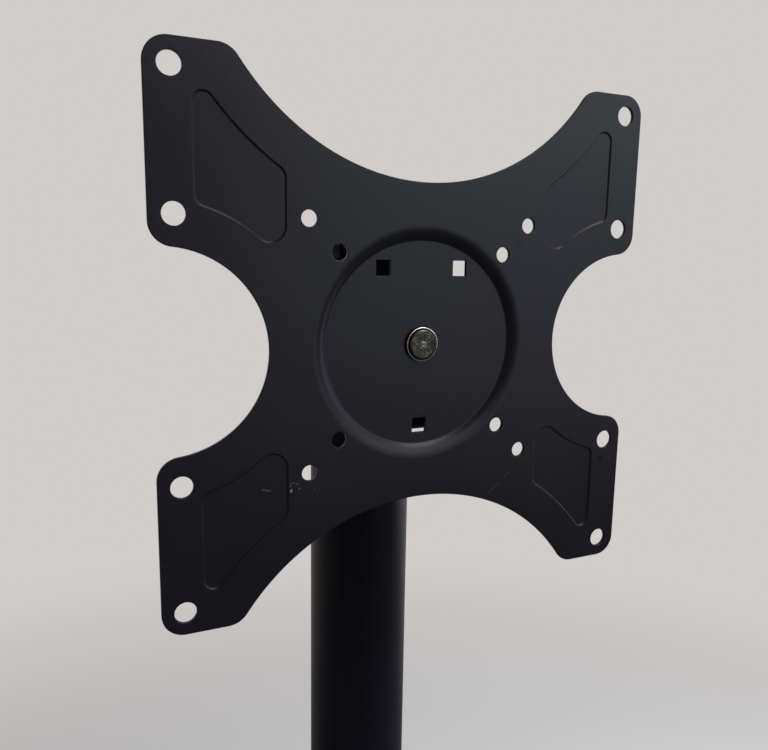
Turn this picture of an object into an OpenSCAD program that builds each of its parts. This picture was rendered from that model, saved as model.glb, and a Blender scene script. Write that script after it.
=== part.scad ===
// Floor stand for a flat television: a heavy base, a telescopic round column and, on top,
// a head that swivels, tilts and turns a four-armed interface plate.
// Millimetres, +Z up, the front faces -Y. The origin is on the floor, on the column's axis.

/* [Interface plate] */
// Hole spacing of the widest square pattern
wide_spacing = 200; // [190:1:220]
// Hole spacing of the medium square pattern, and the height of the wide and low one
medium_spacing = 100; // [94:1:104]
// Hole spacing of the small square pattern
small_spacing = 75; // [72:1:82]
// Diameter of the holes in the four arms
arm_hole_d = 8.5; // [6:0.1:10]
// Diameter of the medium and small patterns' holes
inner_hole_d = 6.5; // [4:0.1:7]
// Thickness of the plate's steel sheet
plate_t = 1.6; // [1.2:0.1:2.5]
// Radius of the plate's corners, round its arm holes
corner_r = 9; // [7:0.5:12]
// Distance from the centre to the plate's edge at either side
side_waist = 66; // [60:0.5:70]
// Radius of the scallop in either side
side_scallop_r = 38.6; // [32:0.2:40]
// Distance from the centre to the plate's edge above and below
end_waist = 65.8; // [62:0.2:70]
// Radius of the scallop above and below
end_scallop_r = 93.4; // [84:0.2:98]
// Height of the plate's centre over the floor, with the mast at rest
plate_z = 1202; // [1100:1:1300]
// Distance from the column's axis to the plate's front face
plate_reach = 68; // [66:0.5:80]

/* [Stamped corner panels] */
// Distance from the plate's edge to a panel's edge
panel_inset = 16.2; // [14:0.2:18]
// Distance from the plate's centre line to a panel's inner edge
panel_inner = 59; // [56:0.5:64]
// Radius of a panel's corners
panel_corner_r = 4; // [2:0.25:5]
// Radius of a panel's sharp corner beside the waist
panel_waist_r = 6.3; // [4:0.1:8]
// How far a panel is pressed in
panel_depth = 0.6; // [0.3:0.1:1.2]

/* [Dished centre] */
// Diameter of the dish's flat floor
dish_floor_d = 85.6; // [84:0.2:88]
// How far the dish is pressed in
dish_depth = 2.8; // [2.4:0.1:3.4]
// Radius of the soft bend round the dish
dish_bend_r = 8; // [6:0.5:9]
// Slope of the dish's wall
dish_slope = 40; // [34:1:46]
// Width of a square hole in the dish
square_hole = 6.4; // [5:0.2:8]
// Sideways distance of the two upper square holes
square_side = 17.75; // [16:0.25:22]
// Height of the two upper square holes over the pivot
square_up = 31.5; // [28:0.5:33]
// Drop of the lower square hole under the pivot
square_down = 35; // [30:0.5:37]

/* [Turning pivot] */
// Diameter of the pivot bolt's shank
pivot_d = 10; // [8:0.5:10.5]
// Diameter of the pivot bolt's round head
pivot_head_d = 12.1; // [11.5:0.1:13]
// Height of the pivot bolt's head
pivot_head_h = 1.6; // [1.2:0.1:3]
// Diameter of the plated washer under the head
pivot_rim_d = 14.3; // [13:0.1:18]
// Height of the plated washer's raised rim
pivot_rim_t = 1.1; // [0.9:0.1:1.3]
// Width of the plated washer's raised rim
pivot_rim_w = 0.4; // [0.3:0.05:0.6]
// Thickness of the plated washer under the head
pivot_web_t = 0.5; // [0.3:0.1:0.7]
// Diameter of the hub between the bracket and the plate
hub_d = 30; // [24:1:34]
// Width across the flats of the pivot nut
pivot_nut_af = 16; // [14:0.5:17]
// Height of the pivot nut
pivot_nut_h = 7; // [5:0.5:7.5]

/* [Tilt bracket] */
// Outer width of the tilt bracket
bracket_w = 49; // [48:0.5:52]
// Sheet thickness of the tilt bracket
bracket_t = 3; // [2.5:0.1:3.4]
// Distance from the column's axis to the bracket's front face
bracket_reach = 48; // [47.5:0.25:49]
// How far the bracket reaches over and under the pivot
bracket_half_h = 42; // [40:0.5:43]
// Distance from the column's axis to the tilt axis
tilt_reach = 36; // [35.5:0.1:36.5]
// Tilt towards the viewer
tilt_forward = 15; // [8:1:15]
// Tilt away from the viewer
tilt_back = 5; // [2:1:5]
// Diameter of the two tilt screws
tilt_screw_d = 8; // [6:0.5:8]
// Width across the flats of the tilt screws' heads and nuts
tilt_af = 13; // [11:0.5:13]
// Height of the guide bolt over the tilt axis
guide_up = 38; // [36:0.5:39]
// Diameter of the guide bolt
guide_d = 6; // [4:0.5:6]
// Width across the flats of the guide bolt's head and nut
guide_af = 10; // [8:0.5:10]

/* [Swivel head] */
// Thickness of an ear
ear_t = 3; // [2.5:0.25:3.5]
// Gap between the two ears
ear_gap = 35; // [34:0.5:35.5]
// Wall of the swivel sleeve
sleeve_wall = 2.7; // [2:0.1:2.8]
// Wall of the sleeve's liner
liner_wall = 1.2; // [0.8:0.1:1.3]
// Height of the sleeve's top over the plate's centre
sleeve_up = 22; // [14:1:24]
// Drop of the sleeve's lower end under the plate's centre
sleeve_down = 33; // [24:1:34]
// Height of the thrust ring
thrust_h = 10; // [8:0.5:14]

/* [Column] */
// Outer diameter of the mast
mast_d = 50; // [49:0.5:50]
// Wall of the mast
mast_wall = 2; // [1.5:0.1:3]
// Length of the mast
mast_l = 900; // [700:10:950]
// How far the mast's end stands over the plate's centre
mast_over = 38; // [36:0.5:38]
// Outer diameter of the lower column
column_d = 60; // [59:0.5:64]
// Wall of the lower column
column_wall = 2; // [1.5:0.1:2.5]
// Height of the lower column's top over the floor
column_top = 740; // [600:10:780]
// Length of the guide bushes at the column's top and the mast's foot
bush_l = 60; // [40:1:70]
// Outer diameter of the clamp collar
collar_d = 73; // [70:1:84]
// Height of the clamp collar's wall beside the column
collar_h = 42; // [36:1:60]

/* [Clamp knob] */
// Diameter of the star knob
knob_d = 46; // [40:1:60]
// Thickness of the star knob
knob_h = 15; // [12:1:20]
// Number of the knob's finger hollows
knob_hollows = 6; // [5:1:8]
// Diameter of the clamp screw
clamp_screw_d = 8; // [6:0.5:10]
// Length of screw that shows between the boss and the knob
clamp_screw_free = 4; // [2:0.5:10]

/* [Base] */
// Width of the base plate
base_w = 520; // [420:5:640]
// Depth of the base plate
base_l = 420; // [360:5:520]
// Thickness of the base plate
base_t = 8; // [6:0.5:12]
// Radius of the base plate's corners
base_corner_r = 48; // [30:1:80]
// Height of the rubber feet
foot_h = 6; // [5:0.5:12]
// Diameter of the rubber feet
foot_d = 38; // [30:1:50]
// Diameter of the column's foot flange
flange_d = 128; // [124:1:140]
// Thickness of the column's foot flange
flange_t = 6; // [5:0.5:10]
// Bolt circle of the flange screws
flange_pcd = 98; // [94:1:102]
// Diameter of the flange screws
flange_screw_d = 8; // [6:0.5:8]
// Number of flange screws
flange_screws_n = 4; // [3:1:6]
// Outer diameter of the flange's cover
cover_d = 148; // [146:1:170]
// Height of the flange's cover
cover_h = 25; // [22:0.5:32]

/* [Hidden] */
$fn = 96;

// Overrun of every cut
cut = 1;
// Radial clearance of a pin or tube that turns or slides in its hole
running = 0.08;
// Radial clearance of round pieces that are fixed in one another
seated = 0.05;
// Gap between flat faces that turn on one another
slip = 0.1;

// Heights
base_top = foot_h + base_t;
mast_top = plate_z + mast_over;
mast_foot = mast_top - mast_l;
sleeve_top = plate_z + sleeve_up;
sleeve_foot = plate_z - sleeve_down;

// Distances from the column's axis towards the viewer
dish_back = plate_reach - dish_depth - plate_t;
dish_front = plate_reach - dish_depth;

function toward(a, b, d) = a + d * (b - a) / norm(b - a);

// A flat shape drawn in X and Z, thickened towards the viewer from the distance reach_back
module facing(reach_back, h) {
    translate([0, -reach_back, plate_z]) rotate([90, 0, 0]) linear_extrude(h) children();
}

// A turned shape on the pivot's axis: its profile's height runs towards the viewer from reach_back
module turned_front(reach_back) {
    translate([0, -reach_back, plate_z]) rotate([90, 0, 0]) rotate_extrude() children();
}

// A flat shape drawn in Y and Z, thickened along +X from the plane x
module side_sheet(x, h) {
    translate([x, 0, 0]) rotate([90, 0, 90]) linear_extrude(h) children();
}

// A flat washer along Z
module ring(od, id, h) {
    difference() {
        cylinder(d = od, h = h);
        translate([0, 0, -cut]) cylinder(d = id, h = h + 2 * cut);
    }
}

// A hexagon along Z, given its width across the flats
module hexagon(af, h) {
    cylinder(d = af / cos(30), h = h, $fn = 6);
}

// Interface plate: laser-cut sheet with four arms, pressed panels and a dished centre
plate_half = wide_spacing / 2 + corner_r;
side_cx = side_waist + side_scallop_r;
end_cz = end_waist + end_scallop_r;
side_fillet = [wide_spacing / 2, sqrt(pow(side_scallop_r + corner_r, 2) - pow(side_cx - wide_spacing / 2, 2))];
end_fillet = [sqrt(pow(end_scallop_r + corner_r, 2) - pow(end_cz - wide_spacing / 2, 2)), wide_spacing / 2];
side_touch = toward([side_cx, 0], side_fillet, side_scallop_r);
end_touch = toward([0, end_cz], end_fillet, end_scallop_r);

module rounded_rectangle(w, l, r) {
    square([w, l - 2 * r], center = true);
    square([w - 2 * r, l], center = true);
    for (sx = [-1, 1], sy = [-1, 1]) translate([sx * (w / 2 - r), sy * (l / 2 - r)]) circle(r = r);
}

// Points on the arc about a centre between p and q, the short way round, without p and q themselves
function arc(centre, p, q, steps) = let (
    from = atan2(p[1] - centre[1], p[0] - centre[0]),
    turn = (atan2(q[1] - centre[1], q[0] - centre[0]) - from + 540) % 360 - 180
) [for (i = [1:steps - 1]) centre + norm(p - centre) * [cos(from + turn * i / steps), sin(from + turn * i / steps)]];

function backwards(points) = [for (i = [len(points) - 1:-1:0]) points[i]];
function flipped(points, sx, sz) = [for (p = points) [sx * p[0], sz * p[1]]];

corner_steps = 10;
edge_steps = 20;

// One arm's edge, from the side scallop round the corner to the end scallop
arm = wide_spacing / 2;
arm_edge = concat(
    [side_touch], arc(side_fillet, side_touch, [plate_half, side_fillet[1]], corner_steps),
    [[plate_half, side_fillet[1]], [plate_half, arm]],
    arc([arm, arm], [plate_half, arm], [arm, plate_half], corner_steps),
    [[arm, plate_half], [end_fillet[0], plate_half]],
    arc(end_fillet, [end_fillet[0], plate_half], end_touch, corner_steps), [end_touch]
);

// Half of the plate's edge, from one side scallop over the top to the end of the other one
half_edge = concat(
    arm_edge, arc([0, end_cz], end_touch, [-end_touch[0], end_touch[1]], 2 * edge_steps),
    backwards(flipped(arm_edge, -1, 1)),
    arc([-side_cx, 0], [-side_touch[0], side_touch[1]], -side_touch, 2 * edge_steps)
);

module plate_outline() {
    polygon(concat(half_edge, flipped(half_edge, -1, -1)));
}

// One pressed panel: two straight edges, and two that follow the scallops at the inset
panel_outer = plate_half - panel_inset;
panel_side_r = side_scallop_r + panel_inset;
panel_end_r = end_scallop_r + panel_inset;

function side_corner(x, r) =
    [x, sqrt(pow(panel_side_r + r, 2) - pow(side_cx - x, 2))];
function end_corner(x) =
    [x, end_cz - sqrt(pow(panel_end_r + panel_corner_r, 2) - pow(x, 2))];

module panel_outline() {
    inner = panel_inner + panel_corner_r;
    outer = panel_outer - panel_corner_r;
    side_centre = [side_cx, 0];
    end_centre = [0, end_cz];
    low_in = side_corner(panel_inner + panel_waist_r, panel_waist_r);
    low_out = side_corner(outer, panel_corner_r);
    high_in = end_corner(inner);
    high_out = end_corner(outer);
    low_in_touch = toward(side_centre, low_in, panel_side_r);
    low_out_touch = toward(side_centre, low_out, panel_side_r);
    high_in_touch = toward(end_centre, high_in, panel_end_r);
    high_out_touch = toward(end_centre, high_out, panel_end_r);
    low_in_end = [panel_inner, low_in[1]];
    low_out_end = [panel_outer, low_out[1]];
    high_in_end = [panel_inner, high_in[1]];
    high_out_end = [panel_outer, high_out[1]];
    polygon(concat(
        [low_in_end], arc(low_in, low_in_end, low_in_touch, corner_steps),
        [low_in_touch], arc(side_centre, low_in_touch, low_out_touch, edge_steps),
        [low_out_touch], arc(low_out, low_out_touch, low_out_end, corner_steps),
        [low_out_end, high_out_end], arc(high_out, high_out_end, high_out_touch, corner_steps),
        [high_out_touch], arc(end_centre, high_out_touch, high_in_touch, edge_steps),
        [high_in_touch], arc(high_in, high_in_touch, high_in_end, corner_steps), [high_in_end]
    ));
}

module panels() {
    for (sx = [0, 1], sz = [0, 1]) mirror([sx, 0]) mirror([0, sz]) panel_outline();
}

// The dish's section, with its height counted from the back of its floor
dish_floor_r = dish_floor_d / 2;
dish_wall = (dish_depth - dish_bend_r * (1 - cos(dish_slope))) / sin(dish_slope);
dish_rim_r = dish_floor_r + dish_bend_r * sin(dish_slope) + dish_wall * cos(dish_slope);
dish_top = dish_depth + plate_t;
bend_steps = 6;

function bend_arc(r) = [for (i = [0:bend_steps])
    let (a = dish_slope * i / bend_steps) [dish_rim_r - r * sin(a), dish_top - dish_bend_r + r * cos(a)]];

// Back of the dish, filled up into the sheet
module dish_bulge() {
    inside_sheet = dish_depth + plate_t / 2;
    turned_front(dish_back) polygon(concat(
        [[0, inside_sheet], [0, 0], [dish_floor_r + plate_t * tan(dish_slope / 2), 0]],
        backwards(bend_arc(dish_bend_r - plate_t)),
        [[dish_rim_r, inside_sheet]]
    ));
}

// What the press takes out of the front
module dish_hollow() {
    turned_front(dish_back) polygon(concat(
        [[dish_rim_r, dish_top + cut]], bend_arc(dish_bend_r),
        [[dish_floor_r, plate_t], [0, plate_t], [0, dish_top + cut]]
    ));
}

module square_pattern(w, l, d) {
    for (sx = [-1, 1], sz = [-1, 1]) translate([sx * w / 2, sz * l / 2]) circle(d = d);
}

module vesa_plate() {
    back = plate_reach - plate_t;
    color([0.05, 0.05, 0.055]) difference() {
        union() {
            facing(back, plate_t) plate_outline();
            dish_bulge();
            facing(back - panel_depth, panel_depth + plate_t / 2) panels();
        }
        dish_hollow();
        facing(plate_reach - panel_depth, panel_depth + cut) panels();
        facing(back - panel_depth - cut, plate_t + panel_depth + 2 * cut) {
            square_pattern(wide_spacing, wide_spacing, arm_hole_d);
            square_pattern(wide_spacing, medium_spacing, arm_hole_d);
            square_pattern(medium_spacing, medium_spacing, inner_hole_d);
            square_pattern(small_spacing, small_spacing, inner_hole_d);
        }
        facing(dish_back - cut, plate_t + 2 * cut) {
            circle(r = pivot_d / 2 + running);
            for (p = [[-square_side, square_up], [square_side, square_up], [0, -square_down]])
                translate(p) square(square_hole, center = true);
        }
    }
}

// Turning pivot: a hub on the bracket, and a bolt that clamps the plate between slip washers
front_slip_t = 0.5;
rim_back = dish_front + slip + front_slip_t;
head_back = rim_back + pivot_web_t;
head_chamfer = 0.4;
rim_chamfer = 0.15;
slip_inset = 0.8;
centre_punch = 0.7;
spring_t = 1.2;
spring_count = 2;
spring_cone = 0.35;
spring_d = 18;
nut_back = bracket_reach - bracket_t - spring_count * (spring_t + spring_cone) - pivot_nut_h;
thread_over = 1.5;
rear_slip_t = 1.5;
hub_front = dish_back - slip - rear_slip_t;

module pivot_hub() {
    color([0.06, 0.06, 0.065]) turned_front(bracket_reach) polygon([
        [pivot_d / 2 + seated, 0], [hub_d / 2, 0], [hub_d / 2, hub_front - bracket_reach - head_chamfer],
        [hub_d / 2 - head_chamfer, hub_front - bracket_reach], [pivot_d / 2 + seated, hub_front - bracket_reach]
    ]);
}

module pivot_bolt() {
    shank_r = pivot_d / 2;
    head_r = pivot_head_d / 2;
    foot = nut_back - thread_over;
    under_head = head_back - foot;
    top = under_head + pivot_head_h;
    color([0.28, 0.25, 0.22]) turned_front(foot) polygon([
        [0, 0], [shank_r - head_chamfer, 0], [shank_r, head_chamfer], [shank_r, under_head],
        [head_r, under_head], [head_r, top - head_chamfer], [head_r - head_chamfer, top],
        [centre_punch, top], [0, top - centre_punch]
    ]);
}

module pivot_washer() {
    outer = pivot_rim_d / 2;
    color([0.62, 0.55, 0.36]) turned_front(rim_back) polygon([
        [pivot_d / 2 + seated, 0], [outer, 0], [outer, pivot_rim_t - rim_chamfer],
        [outer - rim_chamfer, pivot_rim_t], [outer - pivot_rim_w, pivot_rim_t],
        [outer - pivot_rim_w, pivot_web_t], [pivot_d / 2 + seated, pivot_web_t]
    ]);
}

module front_slip_washer() {
    color([0.85, 0.84, 0.8]) translate([0, -dish_front - slip, plate_z]) rotate([90, 0, 0])
        ring(pivot_rim_d - 2 * slip_inset, pivot_d + 2 * seated, front_slip_t);
}

module rear_slip_washer() {
    color([0.85, 0.84, 0.8]) translate([0, -hub_front, plate_z]) rotate([90, 0, 0])
        ring(hub_d, pivot_d + 2 * seated, rear_slip_t);
}

module spring_washers() {
    inner_r = pivot_d / 2 + seated;
    pitch = spring_t + spring_cone;
    color([0.55, 0.55, 0.57]) for (i = [0:spring_count - 1])
        turned_front(bracket_reach - bracket_t - (i + 1) * pitch) polygon([
            [inner_r, 0], [spring_d / 2, spring_cone], [spring_d / 2, pitch], [inner_r, spring_t]
        ]);
}

module pivot_nut() {
    color([0.6, 0.6, 0.62]) translate([0, -nut_back, plate_z]) rotate([90, 0, 0]) difference() {
        rotate([0, 0, 30]) hexagon(pivot_nut_af, pivot_nut_h);
        translate([0, 0, -cut]) cylinder(d = pivot_d + 2 * seated, h = pivot_nut_h + 2 * cut);
    }
}

// Tilt bracket: a folded channel that turns on two screws and is guided by a bolt in two arc slots
flange_inner = bracket_w / 2 - bracket_t;
ear_outer = ear_gap / 2 + ear_t;
tilt_axis = [-tilt_reach, plate_z];
guide_behind = 2;
guide_radius = norm([guide_behind, guide_up]);
guide_angle = atan2(guide_behind, guide_up);
slot_margin = 1;
slot_from = guide_angle - tilt_back - slot_margin;
slot_to = guide_angle + tilt_forward + slot_margin;
slot_r = guide_d / 2 + 2 * slip;
slot_edge = 3.3;
pivot_lobe_r = 10;
strip_l = 10;
bracket_corner_r = 5;

// A point at an angle from upright towards the back, seen from the side as [y, z]
function swung(r, a) = [r * sin(a), r * cos(a)];

// An arc slot about the tilt axis, with round ends
module arc_slot(half_width) {
    reach = guide_radius + half_width + cut;
    intersection() {
        difference() {
            circle(r = guide_radius + half_width);
            circle(r = guide_radius - half_width);
        }
        polygon([[0, 0], swung(2 * reach, slot_from), swung(2 * reach, slot_to)]);
    }
    for (a = [slot_from, slot_to]) translate(swung(guide_radius, a)) circle(r = half_width);
}

module flange_outline() {
    strip_y = tilt_reach - bracket_reach;
    difference() {
        union() {
            translate([strip_y, -bracket_half_h + bracket_corner_r])
                square([strip_l, 2 * (bracket_half_h - bracket_corner_r)]);
            translate([strip_y, -bracket_half_h]) square([strip_l - bracket_corner_r, 2 * bracket_half_h]);
            for (s = [-1, 1])
                translate([strip_y + strip_l - bracket_corner_r, s * (bracket_half_h - bracket_corner_r)])
                    circle(r = bracket_corner_r);
            circle(r = pivot_lobe_r);
            translate([strip_y, -pivot_lobe_r]) square([-strip_y, 2 * pivot_lobe_r]);
            arc_slot(slot_r + slot_edge);
        }
        circle(d = tilt_screw_d + 2 * running);
        arc_slot(slot_r);
    }
}

module tilt_bracket() {
    inside = bracket_w - 2 * bracket_t;
    color([0.05, 0.05, 0.055]) {
        difference() {
            translate([-inside / 2 - bracket_t / 2, -bracket_reach, plate_z - bracket_half_h])
                cube([inside + bracket_t, bracket_t, 2 * bracket_half_h]);
            translate([0, -bracket_reach + bracket_t + cut, plate_z]) rotate([90, 0, 0])
                cylinder(d = pivot_d + 2 * seated, h = bracket_t + 2 * cut);
        }
        for (x = [-bracket_w / 2, flange_inner])
            side_sheet(x, bracket_t) translate(tilt_axis) flange_outline();
    }
}

// Tilt screws and nuts, one of each at either ear
washer_t = 1.4;
tilt_washer_d = 16;
tilt_head_h = 5.3;
tilt_nut_h = 6.2;
friction_washer_d = 18;

module at_tilt_axis() {
    for (s = [0, 1]) mirror([s, 0, 0]) translate([0, tilt_axis[0], tilt_axis[1]]) rotate([0, 90, 0]) children();
}

module tilt_screws() {
    under_head = bracket_w / 2 + slip + washer_t;
    tip = ear_gap / 2 - tilt_nut_h - slip;
    color([0.6, 0.6, 0.62]) at_tilt_axis() {
        translate([0, 0, tip]) cylinder(d = tilt_screw_d, h = under_head - tip);
        translate([0, 0, under_head]) hexagon(tilt_af, tilt_head_h);
    }
}

module tilt_nuts() {
    color([0.6, 0.6, 0.62]) at_tilt_axis() translate([0, 0, ear_gap / 2 - tilt_nut_h]) difference() {
        hexagon(tilt_af, tilt_nut_h);
        translate([0, 0, -cut]) cylinder(d = tilt_screw_d + 2 * seated, h = tilt_nut_h + 2 * cut);
    }
}

module tilt_friction_washers() {
    color([0.85, 0.84, 0.8]) at_tilt_axis() translate([0, 0, ear_outer])
        ring(friction_washer_d, tilt_screw_d + 2 * seated, flange_inner - ear_outer - slip);
}

module tilt_washers() {
    color([0.6, 0.6, 0.62]) at_tilt_axis() translate([0, 0, bracket_w / 2 + slip])
        ring(tilt_washer_d, tilt_screw_d + 2 * seated, washer_t);
}

// Guide bolt: it runs through both ears and both arc slots, and limits the tilt
guide_washer_d = 13;
guide_washer_t = 1.2;
guide_head_h = 4;
guide_nut_h = 5;
guide_spacer_d = 9;
guide_at = [-tilt_reach + guide_behind, plate_z + guide_up];
guide_seat = bracket_w / 2 + slip + guide_washer_t;

module at_guide() {
    translate([0, guide_at[0], guide_at[1]]) rotate([0, 90, 0]) children();
}

module guide_bolt() {
    color([0.1, 0.1, 0.11]) at_guide() {
        translate([0, 0, -guide_seat - guide_nut_h - slip])
            cylinder(d = guide_d, h = 2 * guide_seat + guide_nut_h + slip);
        translate([0, 0, guide_seat]) hexagon(guide_af, guide_head_h);
    }
}

module guide_nut() {
    color([0.1, 0.1, 0.11]) at_guide() translate([0, 0, -guide_seat - guide_nut_h]) difference() {
        hexagon(guide_af, guide_nut_h);
        translate([0, 0, -cut]) cylinder(d = guide_d + 2 * seated, h = guide_nut_h + 2 * cut);
    }
}

module guide_washers() {
    color([0.1, 0.1, 0.11]) at_guide() for (x = [-guide_seat, bracket_w / 2 + slip])
        translate([0, 0, x]) ring(guide_washer_d, guide_d + 2 * seated, guide_washer_t);
}

module guide_spacer() {
    color([0.1, 0.1, 0.11]) at_guide() translate([0, 0, -ear_gap / 2])
        ring(guide_spacer_d, guide_d + 2 * seated, ear_gap);
}

// Swivel head: a lined sleeve that turns on the mast, with two welded ears
mast_r = mast_d / 2;
liner_r = mast_r + running + liner_wall;
sleeve_r = liner_r + seated + sleeve_wall;
ear_pivot_r = 8.5;
ear_guide_r = 7;
ear_sunk = 5;
ear_back = mast_r - ear_sunk;

module ear_outline() {
    guide = [guide_behind, guide_up];
    back = tilt_reach - ear_back;
    difference() {
        union() {
            circle(r = ear_pivot_r);
            translate(guide) circle(r = ear_guide_r);
            polygon([
                [-ear_pivot_r, 0], [guide_behind - ear_guide_r, guide_up], [guide_behind, guide_up + ear_guide_r],
                [back, guide_up], [back, -ear_pivot_r], [0, -ear_pivot_r]
            ]);
        }
        circle(d = tilt_screw_d + 2 * seated);
        translate(guide) circle(d = guide_d + 2 * seated);
    }
}

module head_sleeve() {
    color([0.05, 0.05, 0.055]) difference() {
        union() {
            translate([0, 0, sleeve_foot]) cylinder(r = sleeve_r, h = sleeve_top - sleeve_foot);
            for (x = [-ear_outer, ear_gap / 2]) side_sheet(x, ear_t) translate(tilt_axis) ear_outline();
        }
        translate([0, 0, sleeve_foot - cut])
            cylinder(r = liner_r + seated, h = sleeve_top - sleeve_foot + 2 * cut);
    }
}

module sleeve_liner() {
    color([0.8, 0.8, 0.78]) translate([0, 0, sleeve_foot])
        ring(2 * liner_r, mast_d + 2 * running, sleeve_top - sleeve_foot);
}

// Thrust ring: it is clamped on the mast by a grub screw and carries the head on a slip ring
slip_ring_t = 1.5;
thrust_top = sleeve_foot - slip - slip_ring_t;
thrust_screw_d = 5;
thrust_screw_up = thrust_h / 2;

module slip_ring() {
    color([0.8, 0.8, 0.78]) translate([0, 0, thrust_top]) ring(2 * sleeve_r, mast_d + 2 * seated, slip_ring_t);
}

module grub_hole(r_from, r_to, z, d) {
    translate([0, r_from, z]) rotate([-90, 0, 0]) cylinder(d = d, h = r_to - r_from);
}

// A socketed grub screw that lies along +Y between two radii
module grub_screw(r_from, r_to, z, d) {
    difference() {
        grub_hole(r_from, r_to, z, d);
        translate([0, r_to - d / 2, z]) rotate([-90, 0, 0]) hexagon(d / 2, d);
    }
}

module thrust_ring() {
    color([0.05, 0.05, 0.055]) difference() {
        translate([0, 0, thrust_top - thrust_h]) ring(2 * sleeve_r, mast_d + 2 * seated, thrust_h);
        grub_hole(mast_r - cut, sleeve_r + cut, thrust_top - thrust_screw_up, thrust_screw_d + 2 * seated);
    }
}

module thrust_ring_screw() {
    color([0.15, 0.15, 0.16])
        grub_screw(mast_r + seated, sleeve_r - seated, thrust_top - thrust_screw_up, thrust_screw_d);
}

// Mast: a plain round tube with a plastic cap on top and a plastic guide round its foot
cap_h = 2.6;
cap_edge = 0.8;
cap_plug_l = 16;
cap_plug_wall = 2;
guide_lip_t = 4;
column_bore_r = column_d / 2 - column_wall;
rivet_d = 5;
rivet_head_d = 9;
rivet_head_h = 1.2;
rivet_z = mast_foot + bush_l / 2;

module upper_tube() {
    color([0.05, 0.05, 0.055]) difference() {
        translate([0, 0, mast_foot]) ring(mast_d, mast_d - 2 * mast_wall, mast_l);
        for (s = [0, 1]) mirror([s, 0, 0]) translate([0, 0, rivet_z]) rotate([0, 90, 0])
            cylinder(d = rivet_d + 2 * seated, h = mast_r + cut);
    }
}

module top_cap() {
    plug_r = mast_r - mast_wall - seated;
    color([0.04, 0.04, 0.042]) translate([0, 0, mast_top]) rotate_extrude() polygon([
        [0, 0], [plug_r - cap_plug_wall, 0], [plug_r - cap_plug_wall, -cap_plug_l], [plug_r, -cap_plug_l],
        [plug_r, 0], [mast_r, 0], [mast_r, cap_edge], [mast_r - cap_edge, cap_edge + cap_edge / 2],
        [mast_r / 2, cap_h - cap_edge / 4], [0, cap_h]
    ]);
}

module mast_guide() {
    outer_r = column_bore_r - running;
    color([0.1, 0.1, 0.1]) difference() {
        union() {
            translate([0, 0, mast_foot]) ring(2 * outer_r, mast_d + 2 * seated, bush_l);
            translate([0, 0, mast_foot - guide_lip_t])
                ring(2 * outer_r, mast_d - 2 * mast_wall, guide_lip_t);
        }
        for (s = [0, 1]) mirror([s, 0, 0]) translate([0, 0, rivet_z]) rotate([0, 90, 0])
            cylinder(d = rivet_d + 2 * seated, h = outer_r + cut);
    }
}

module guide_rivets() {
    inside = mast_r - mast_wall - seated;
    outer = column_bore_r - running - seated;
    color([0.7, 0.7, 0.72]) for (s = [0, 1]) mirror([s, 0, 0]) translate([0, 0, rivet_z]) rotate([0, 90, 0]) {
        translate([0, 0, inside - rivet_head_h]) cylinder(d = rivet_head_d, h = rivet_head_h / 2);
        translate([0, 0, inside - rivet_head_h / 2]) cylinder(d = rivet_d, h = outer - inside + rivet_head_h / 2);
    }
}

// Lower column: a round tube welded into its foot flange, with a guide bush in its top
lip_t = 3;

module around_flange() {
    for (i = [0:flange_screws_n - 1]) rotate([0, 0, (i + 1 / 2) * 360 / flange_screws_n])
        translate([flange_pcd / 2, 0, 0]) children();
}

module lower_column() {
    color([0.05, 0.05, 0.055]) difference() {
        union() {
            translate([0, 0, base_top]) cylinder(d = column_d, h = column_top - base_top);
            translate([0, 0, base_top]) cylinder(d = flange_d, h = flange_t);
        }
        translate([0, 0, base_top - cut])
            cylinder(r = column_bore_r, h = column_top - base_top + 2 * cut);
        around_flange() translate([0, 0, base_top - cut])
            cylinder(d = flange_screw_d + 2 * seated, h = flange_t + 2 * cut);
        grub_hole(0, column_d, clamp_z, clamp_screw_d + 2 * running);
    }
}

module column_bush() {
    inner_d = mast_d + 2 * running;
    color([0.1, 0.1, 0.1]) difference() {
        union() {
            translate([0, 0, column_top - bush_l]) ring(2 * (column_bore_r - seated), inner_d, bush_l);
            translate([0, 0, column_top]) ring(column_d, inner_d, lip_t);
        }
        grub_hole(0, column_d, clamp_z, clamp_screw_d + 2 * running);
    }
}

// Clamp collar: a turned ring over the column's end, with a threaded boss for the clamp screw
collar_rim_t = 5;
collar_mouth = 0.6;
collar_chamfer = 1.5;
collar_grub_d = 6;
clamp_z = column_top - collar_h / 2;
boss_d = 22;
boss_l = 9;
boss_end = collar_d / 2 + boss_l;
collar_grub_angle = 120;

module clamp_collar() {
    seat_r = column_d / 2 + seated;
    outer_r = collar_d / 2;
    top = lip_t + collar_rim_t;
    color([0.05, 0.05, 0.055]) difference() {
        union() {
            translate([0, 0, column_top]) rotate_extrude() polygon([
                [seat_r, -collar_h], [outer_r - collar_chamfer, -collar_h],
                [outer_r, -collar_h + collar_chamfer], [outer_r, top - collar_chamfer],
                [outer_r - collar_chamfer, top], [mast_r + collar_mouth, top], [mast_r + collar_mouth, lip_t],
                [seat_r, lip_t]
            ]);
            grub_hole(outer_r - (outer_r - seat_r) / 2, boss_end, clamp_z, boss_d);
        }
        grub_hole(0, boss_end + cut, clamp_z, clamp_screw_d + 2 * running);
        for (s = [-1, 1]) rotate([0, 0, s * collar_grub_angle])
            grub_hole(mast_r, outer_r + cut, clamp_z, collar_grub_d + 2 * seated);
    }
}

module collar_screws() {
    for (s = [-1, 1]) rotate([0, 0, s * collar_grub_angle]) color([0.15, 0.15, 0.16])
        grub_screw(column_d / 2 + seated, collar_d / 2 - seated, clamp_z, collar_grub_d);
}

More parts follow.
